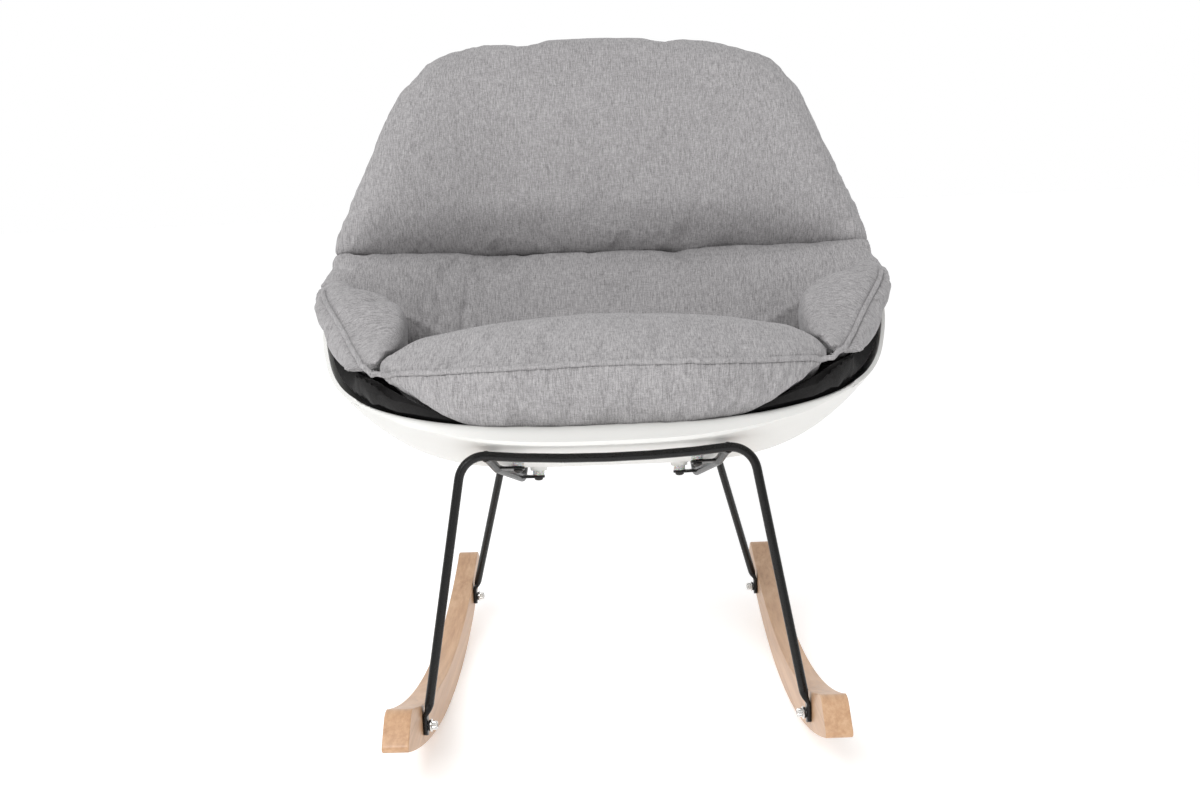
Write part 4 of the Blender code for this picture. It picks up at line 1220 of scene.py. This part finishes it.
def build_hoop(name, node, foot_y, bar_y, bar_z, corner_x, sag):
    """Bent rod whose ends are pressed flat where they are bolted to the rockers."""
    frame_here = foot_frame(foot_y)
    flat_x = -FIT_GAP - 0.5 * FOOT_TAB_THICKNESS
    low = frame_here @ Vector((flat_x, 0.0, -FOOT_TAB_BELOW))
    high = frame_here @ Vector((flat_x, 0.0, FOOT_TAB_ABOVE - FLATTEN_REACH))
    top = frame_here @ Vector((-FIT_GAP - ROD_RADIUS - FOOT_SET_IN, 0.0, FOOT_TAB_ABOVE))
    corner = Vector((corner_x, bar_y, bar_z))
    bar = [Vector((corner_x * k, bar_y, bar_z - sag * (1.0 - k * k))) for k in (0.6, 0.3, 0.0, -0.3, -0.6)]
    flip = Matrix.Diagonal((-1.0, 1.0, 1.0))
    rod = rounded_path([top, corner, *bar, flip @ corner, flip @ top], ROD_BEND_RADIUS)
    path = relaxed(resampled([low, high, *rod, flip @ high, flip @ low], ROD_STEP), 3)
    lengths = path_lengths(path)
    flat_length = FOOT_TAB_ABOVE + FOOT_TAB_BELOW - FLATTEN_REACH

    def section(i):
        end = min(lengths[i], lengths[-1] - lengths[i])
        round_share = share_between(end, flat_length, flat_length + 2.0 * FLATTEN_REACH)
        tongue = math.sqrt(max(0.08, 1.0 - max(0.0, 1.0 - end / TONGUE_LENGTH) ** 2))
        width = (FOOT_TAB_WIDTH + (2.0 * ROD_RADIUS - FOOT_TAB_WIDTH) * round_share) * tongue
        depth = FOOT_TAB_THICKNESS + (2.0 * ROD_RADIUS - FOOT_TAB_THICKNESS) * round_share
        return width, depth, 6.0 - 4.0 * round_share

    item = add_object(name, sweep(path, section, Vector((0.0, 1.0, 0.0)), 32), "frame", 50.0)
    return declare(item, "black_frame", node)


def build_hoops():
    front = (FRONT_FOOT_Y, FRONT_BAR_Y, FRONT_BAR_Z, FRONT_CORNER_X, FRONT_BAR_SAG)
    build_hoop("front_hoop_rod", "front_leg_hoop", *front)
    build_hoop("rear_hoop_rod", "rear_leg_hoop", REAR_FOOT_Y, REAR_BAR_Y, REAR_BAR_Z, REAR_CORNER_X, 0.0)


def bar_height(x, bar_z, corner_x, sag):
    return bar_z - sag * (1.0 - (x / corner_x) ** 2)


RAIL_STEP = 0.0015
RAIL_SIDE = Vector((1.0, 0.3, 0.0))
RAIL_FLATTENING = 0.995
WELD_ROUGHNESS = 0.12
WELD_RIPPLES = 700.0


def build_rails():
    """Side rails under the shell, flared into weld beads where they meet the hoops."""
    front = mount_frame(FRONT_MOUNT) @ Vector((TAB_REACH, 0.0, TAB_MIDDLE))
    rear = mount_frame(REAR_MOUNT) @ Vector((TAB_REACH, 0.0, TAB_MIDDLE))
    front_x = front.x + (front.x - rear.x) * (front.y - FRONT_BAR_Y) / (rear.y - front.y)
    start = Vector((front_x, FRONT_BAR_Y, bar_height(front_x, FRONT_BAR_Z, FRONT_CORNER_X, FRONT_BAR_SAG)))
    end = Vector((rear.x - RAIL_REAR_INSET, REAR_BAR_Y, REAR_BAR_Z))
    turn = rear + (rear - front).normalized() * RAIL_TURN_PAST_TAB
    path = resampled(rounded_path([start, front, turn, end], RAIL_BEND_RADIUS), RAIL_STEP)
    lengths = path_lengths(path)

    def section(i):
        reach = min(lengths[i], lengths[-1] - lengths[i])
        flare = math.exp(-(((reach - ROD_RADIUS) / WELD_LENGTH) ** 2)) if reach > ROD_RADIUS else 1.0
        rough = WELD_ROUGHNESS * noise.noise(Vector((lengths[i] * WELD_RIPPLES, 1.0, 0.0)))
        width = 2.0 * ROD_RADIUS * (1.0 + flare * (WELD_FLARE + rough))
        return (width * RAIL_FLATTENING, width, 2.0)

    rod = sweep(path, section, RAIL_SIDE, 28)
    add_both("side_rail", rod, "frame", "black_frame", "side_rail")


TAB_RIM = 0.0006
SPACER_RIBS = 3
SPACER_RIB_SPAN = (0.28, 0.72)
SPACER_GROOVE = 0.0009
SCREW_SOCKET_DEPTH = 0.0020
SOCKET_OVERCUT = 0.003
SCREW_SHANK = 0.010
PAN_RIM = 0.0011
PAN_ANGLES = (0, 12, 25, 38, 52, 66, 80)
CAP_SHANK = 0.012
CAP_EDGE = 0.0006
CAP_LOWER_EDGE = 0.0004


def plate_mesh(length, half, start, end):
    """Flat tab along X with a rounded free end at -half."""
    builder = bmesh.new()
    arc = [math.radians(90.0 + 180.0 * i / 20) for i in range(21)]
    outline = [(half * math.cos(a), half * math.sin(a)) for a in arc]
    outline += [(length, -half), (length, half)]
    face = builder.faces.new([builder.verts.new((x, y, start)) for x, y in outline])
    raised = bmesh.ops.extrude_face_region(builder, geom=[face], use_keep_orig=True)
    for item in raised["geom"]:
        if isinstance(item, bmesh.types.BMVert):
            item.co.z = end
    bmesh.ops.recalc_face_normals(builder, faces=builder.faces[:])
    rims = [e for e in builder.edges if abs(e.verts[0].co.z - e.verts[1].co.z) < 1e-7]
    bmesh.ops.bevel(builder, geom=rims, offset=TAB_RIM, segments=3, profile=0.5, affect="EDGES")
    return builder


def build_seat_mounts():
    for end, mount in (("front", FRONT_MOUNT), ("rear", REAR_MOUNT)):
        frame_here = mount_frame(mount)
        plate = plate_mesh(TAB_REACH, 0.5 * TAB_WIDTH, TAB_START, TAB_END)
        bmesh.ops.transform(plate, matrix=frame_here, verts=plate.verts[:])
        tab = mesh_from(plate, "tab")
        add_both(f"tab_{end}", tab, "frame", "black_frame", f"seat_tab_{end}")
        spacer = turned(spacer_profile(), frame_here, "spacer")
        add_both(f"spacer_{end}", spacer, "spacer", "spacer_plastic", f"seat_spacer_{end}")
        under_head = TAB_END + FIT_GAP
        screw = turned(pan_profile(), frame_here @ Matrix.Translation((0.0, 0.0, under_head)), "screw")
        top = under_head + PAN_HEAD_HEIGHT
        node = f"seat_screw_{end}"
        socketed(screw, f"screw_{end}", frame_here, top, SCREW_SOCKET_DEPTH, "dark", "dark_steel", node)


def spacer_profile():
    """Ribbed nylon sleeve."""
    pitch = SPACER_HEIGHT / SPACER_RIBS
    groove = SPACER_RADIUS - SPACER_GROOVE
    outer = []
    for i in range(SPACER_RIBS):
        base = SPACER_START + i * pitch
        outer += [(groove, base), *((SPACER_RADIUS, base + share * pitch) for share in SPACER_RIB_SPAN)]
    end = SPACER_START + SPACER_HEIGHT
    return [*outer, (groove, end), (HOLE_RADIUS, end), (HOLE_RADIUS, SPACER_START)]


def pan_profile():
    """Domed head on its underside plane, with a short shank."""
    angles = [math.radians(a) for a in PAN_ANGLES]
    dome = [
        (PAN_HEAD_RADIUS * math.cos(a), PAN_RIM + (PAN_HEAD_HEIGHT - PAN_RIM) * math.sin(a)) for a in angles
    ]
    shank = [(0.0, -SCREW_SHANK), (THREAD_RADIUS, -SCREW_SHANK), (THREAD_RADIUS, 0.0)]
    return [*shank, (PAN_HEAD_RADIUS, 0.0), *dome, (0.0, PAN_HEAD_HEIGHT)]


def cap_profile():
    """Knurled cap head on its underside plane, with chamfered rims and a shank."""
    shank = [(0.0, -CAP_SHANK), (THREAD_RADIUS, -CAP_SHANK), (THREAD_RADIUS, 0.0)]
    lower_rim = [(HEAD_RADIUS - 0.5 * CAP_EDGE, 0.0), (HEAD_RADIUS, CAP_LOWER_EDGE)]
    upper_rim = [
        (HEAD_RADIUS, HEAD_HEIGHT - 1.6 * CAP_EDGE),
        (HEAD_RADIUS - 0.4 * CAP_EDGE, HEAD_HEIGHT - 0.6 * CAP_EDGE),
        (HEAD_RADIUS - 1.4 * CAP_EDGE, HEAD_HEIGHT),
    ]
    return [*shank, *lower_rim, *upper_rim, (0.0, HEAD_HEIGHT)]


def hexagon_mesh(place, radius, start, end):
    builder = bmesh.new()
    matrix = place @ Matrix.Translation((0.0, 0.0, 0.5 * (start + end)))
    bmesh.ops.create_cone(
        builder, cap_ends=True, segments=6, radius1=radius, radius2=radius, depth=end - start, matrix=matrix
    )
    return mesh_from(builder, "hexagon")


def socketed(mesh, name, place, top, depth, finish, slot_name, node):
    """Cuts the hexagon socket into a head and adds the piece and its mirror image."""
    item = add_object(name + "_blank", mesh, finish)
    join_shapes(item, [hexagon_mesh(place, SOCKET_RADIUS, top - depth, top + SOCKET_OVERCUT)], "DIFFERENCE")
    shape = item.data.copy()
    bpy.data.objects.remove(item, do_unlink=True)
    add_both(name, shape, finish, slot_name, node, 28.0)


WASHER_EDGE = 0.0003
SPRING_STEPS = 72
SPRING_FIRST_ANGLE = 96.0
SPRING_TURN = 348.0
SPRING_RISE = 0.0005
SPRING_SLACK = 0.0004


def washer_profile(radius, start, end):
    """Flat ring with chamfered outer rims."""
    flat = radius - WASHER_EDGE
    rims = [(flat, start), (radius, start + WASHER_EDGE), (radius, end - WASHER_EDGE), (flat, end)]
    return [(HOLE_RADIUS, start), *rims, (HOLE_RADIUS, end)]


def spring_mesh(place, start):
    """Split ring, its ends a little apart and stepped along the axis."""
    middle = 0.5 * (SPRING_WASHER_RADIUS + HOLE_RADIUS)
    path = []
    for i in range(SPRING_STEPS + 1):
        angle = math.radians(SPRING_FIRST_ANGLE + SPRING_TURN * i / SPRING_STEPS)
        height = start + 0.5 * SPRING_WASHER_THICKNESS + SPRING_RISE * (i / SPRING_STEPS - 0.5)
        path.append(place @ Vector((middle * math.cos(angle), middle * math.sin(angle), height)))
    axis = (place.to_3x3() @ Vector((0.0, 0.0, 1.0))).normalized()
    width = SPRING_WASHER_RADIUS - HOLE_RADIUS
    return sweep(path, lambda i: (SPRING_WASHER_THICKNESS - SPRING_SLACK, width, 7.0), axis, 20)


def build_foot_hardware():
    for end, foot_y in (("front", FRONT_FOOT_Y), ("rear", REAR_FOOT_Y)):
        place = bolt_frame(foot_y)
        at = 2.0 * FIT_GAP + FOOT_TAB_THICKNESS
        add_both(f"spring_{end}", spring_mesh(place, at), "dark", "dark_steel", f"spring_washer_{end}")
        at += SPRING_WASHER_THICKNESS + FIT_GAP
        flat = turned(washer_profile(WASHER_RADIUS, at, at + WASHER_THICKNESS), place, "washer")
        add_both(f"washer_{end}", flat, "bright", "bright_steel", f"flat_washer_{end}")
        at += WASHER_THICKNESS + FIT_GAP
        head = turned(cap_profile(), place @ Matrix.Translation((0.0, 0.0, at)), "bolt", 96, 0.00022)
        node = f"leg_bolt_{end}"
        socketed(head, f"bolt_{end}", place, at + HEAD_HEIGHT, SOCKET_DEPTH, "bright", "bright_steel", node)


def build_rockers():
    """Beech runners: a true arc with rounded edges and rounded, sloped ends."""
    front = -ROCKER_FRONT_REACH / ROCKER_RADIUS
    rear = ROCKER_REAR_REACH / ROCKER_RADIUS
    slope = ROCKER_NOSE_SLOPE / ROCKER_RADIUS

    def on_arc(angle, radius):
        return ROCKER_CENTRE_Y + radius * math.sin(angle), ROCKER_RADIUS - radius * math.cos(angle)

    shares = [i / ROCKER_STEPS for i in range(ROCKER_STEPS + 1)]
    below = [on_arc(front + (rear - front) * f, ROCKER_RADIUS) for f in shares]
    top_radius = ROCKER_RADIUS - ROCKER_HEIGHT
    above = [on_arc(front + slope + (rear - front - 2.0 * slope) * f, top_radius) for f in reversed(shares)]
    builder = bmesh.new()
    face = builder.faces.new([builder.verts.new((0.0, y, z)) for y, z in below + above])
    grown = bmesh.ops.extrude_face_region(builder, geom=[face], use_keep_orig=True)
    for item in grown["geom"]:
        if isinstance(item, bmesh.types.BMVert):
            item.co.x += ROCKER_THICKNESS
    bmesh.ops.recalc_face_normals(builder, faces=builder.faces[:])
    places = [(below[0], NOSE_LOW), (below[-1], NOSE_LOW), (above[0], NOSE_HIGH), (above[-1], NOSE_HIGH)]
    for (y, z), radius in places:
        corner = [e for e in builder.edges if all(abs(v.co.y - y) + abs(v.co.z - z) < 1e-5 for v in e.verts)]
        bmesh.ops.bevel(builder, geom=corner, offset=radius, segments=7, profile=0.5, affect="EDGES")
    bmesh.ops.transform(builder, matrix=side_frame(0.0, 0.0), verts=builder.verts[:])
    mesh = mesh_from(builder, "rocker")
    item = add_object("rocker_blank", mesh, "beech")
    edge = item.modifiers.new("edge", "BEVEL")
    edge.width = ROCKER_EDGE
    edge.segments = 5
    edge.limit_method = "ANGLE"
    edge.angle_limit = math.radians(40.0)
    bake(item)
    shape = item.data.copy()
    bpy.data.objects.remove(item, do_unlink=True)
    add_both("rocker_runner", shape, "beech", "beech", "rocker", 30.0)


def build_inserts():
    """The brass inserts keep their CAD shapes and get the brass finish."""
    for name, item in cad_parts.items():
        if "_insert_" in name:
            if not item.material_slots:
                item.data.materials.append(FINISH["brass"])
            for slot in item.material_slots:
                slot.material = FINISH["brass"]


# ---------------------------------------------------------------- stage


def build_stage():
    mesh = bpy.data.meshes.new("floor")
    builder = bmesh.new()
    bmesh.ops.create_grid(builder, x_segments=1, y_segments=1, size=30.0)
    builder.to_mesh(mesh)
    builder.free()
    floor = bpy.data.objects.new("floor", mesh)
    bpy.context.scene.collection.objects.link(floor)
    mesh.materials.append(FINISH["stage"])


def add_light(name, place, target, size, power):
    light = bpy.data.lights.new(name, "AREA")
    light.shape = "RECTANGLE"
    light.size, light.size_y = size
    light.energy = power
    item = bpy.data.objects.new(name, light)
    bpy.context.scene.collection.objects.link(item)
    item.location = place
    item.rotation_euler = (Vector(target) - Vector(place)).to_track_quat("-Z", "Y").to_euler()


FADE_FROM = -0.35
FADE_TO = 0.15
KEY_PLACE = (-0.9, -2.5, 2.3)
KEY_TARGET = (0.0, 0.1, 0.62)
KEY_SIZE = (1.8, 1.2)
KEY_POWER = 76.0


def build_lights():
    """White world that dims towards the front of the chair, and one soft key light."""
    world = bpy.data.worlds.new("studio")
    bpy.context.scene.world = world
    world.use_nodes = True
    background = world.node_tree.nodes["Background"]
    background.inputs["Color"].default_value = (1.0, 1.0, 1.0, 1.0)
    nodes = world.node_tree.nodes
    links = world.node_tree.links
    direction = nodes.new("ShaderNodeTexCoord")
    parts = nodes.new("ShaderNodeSeparateXYZ")
    links.new(direction.outputs["Generated"], parts.inputs[0])
    fade = nodes.new("ShaderNodeMapRange")
    fade.inputs["From Min"].default_value = FADE_FROM
    fade.inputs["From Max"].default_value = FADE_TO
    fade.inputs["To Min"].default_value = FRONT_GLOW
    fade.inputs["To Max"].default_value = 1.0
    links.new(parts.outputs["Y"], fade.inputs["Value"])
    links.new(fade.outputs["Result"], background.inputs["Strength"])
    add_light("key", KEY_PLACE, KEY_TARGET, KEY_SIZE, KEY_POWER)
    bpy.context.scene.view_settings.view_transform = "Standard"
    bpy.context.scene.view_settings.look = "None"


def build_camera():
    """Camera in front of the chair, a little above the seat, looking slightly down."""
    data = bpy.data.cameras.new("camera")
    data.lens = CAMERA_LENS
    data.sensor_width = SENSOR_WIDTH
    camera = bpy.data.objects.new("camera", data)
    bpy.context.scene.collection.objects.link(camera)
    level = math.cos(CAMERA_DOWN)
    ahead = Vector((math.sin(CAMERA_YAW) * level, math.cos(CAMERA_YAW) * level, -math.sin(CAMERA_DOWN)))
    right = Vector((math.cos(CAMERA_YAW), -math.sin(CAMERA_YAW), 0.0))
    up = right.cross(ahead)
    tilted_right = right * math.cos(CAMERA_ROLL) + up * math.sin(CAMERA_ROLL)
    tilted_up = up * math.cos(CAMERA_ROLL) - right * math.sin(CAMERA_ROLL)
    place = Matrix.Identity(4)
    for column, axis in enumerate((tilted_right, tilted_up, -ahead)):
        for row in range(3):
            place[row][column] = axis[row]
    place.translation = CAMERA_PLACE
    camera.matrix_world = place
    bpy.context.scene.camera = camera


build_camera()
build_lights()
build_stage()
build_shell()
build_base()
build_pads()
build_welt()
build_hoops()
build_rails()
build_seat_mounts()
build_rockers()
build_foot_hardware()
build_inserts()
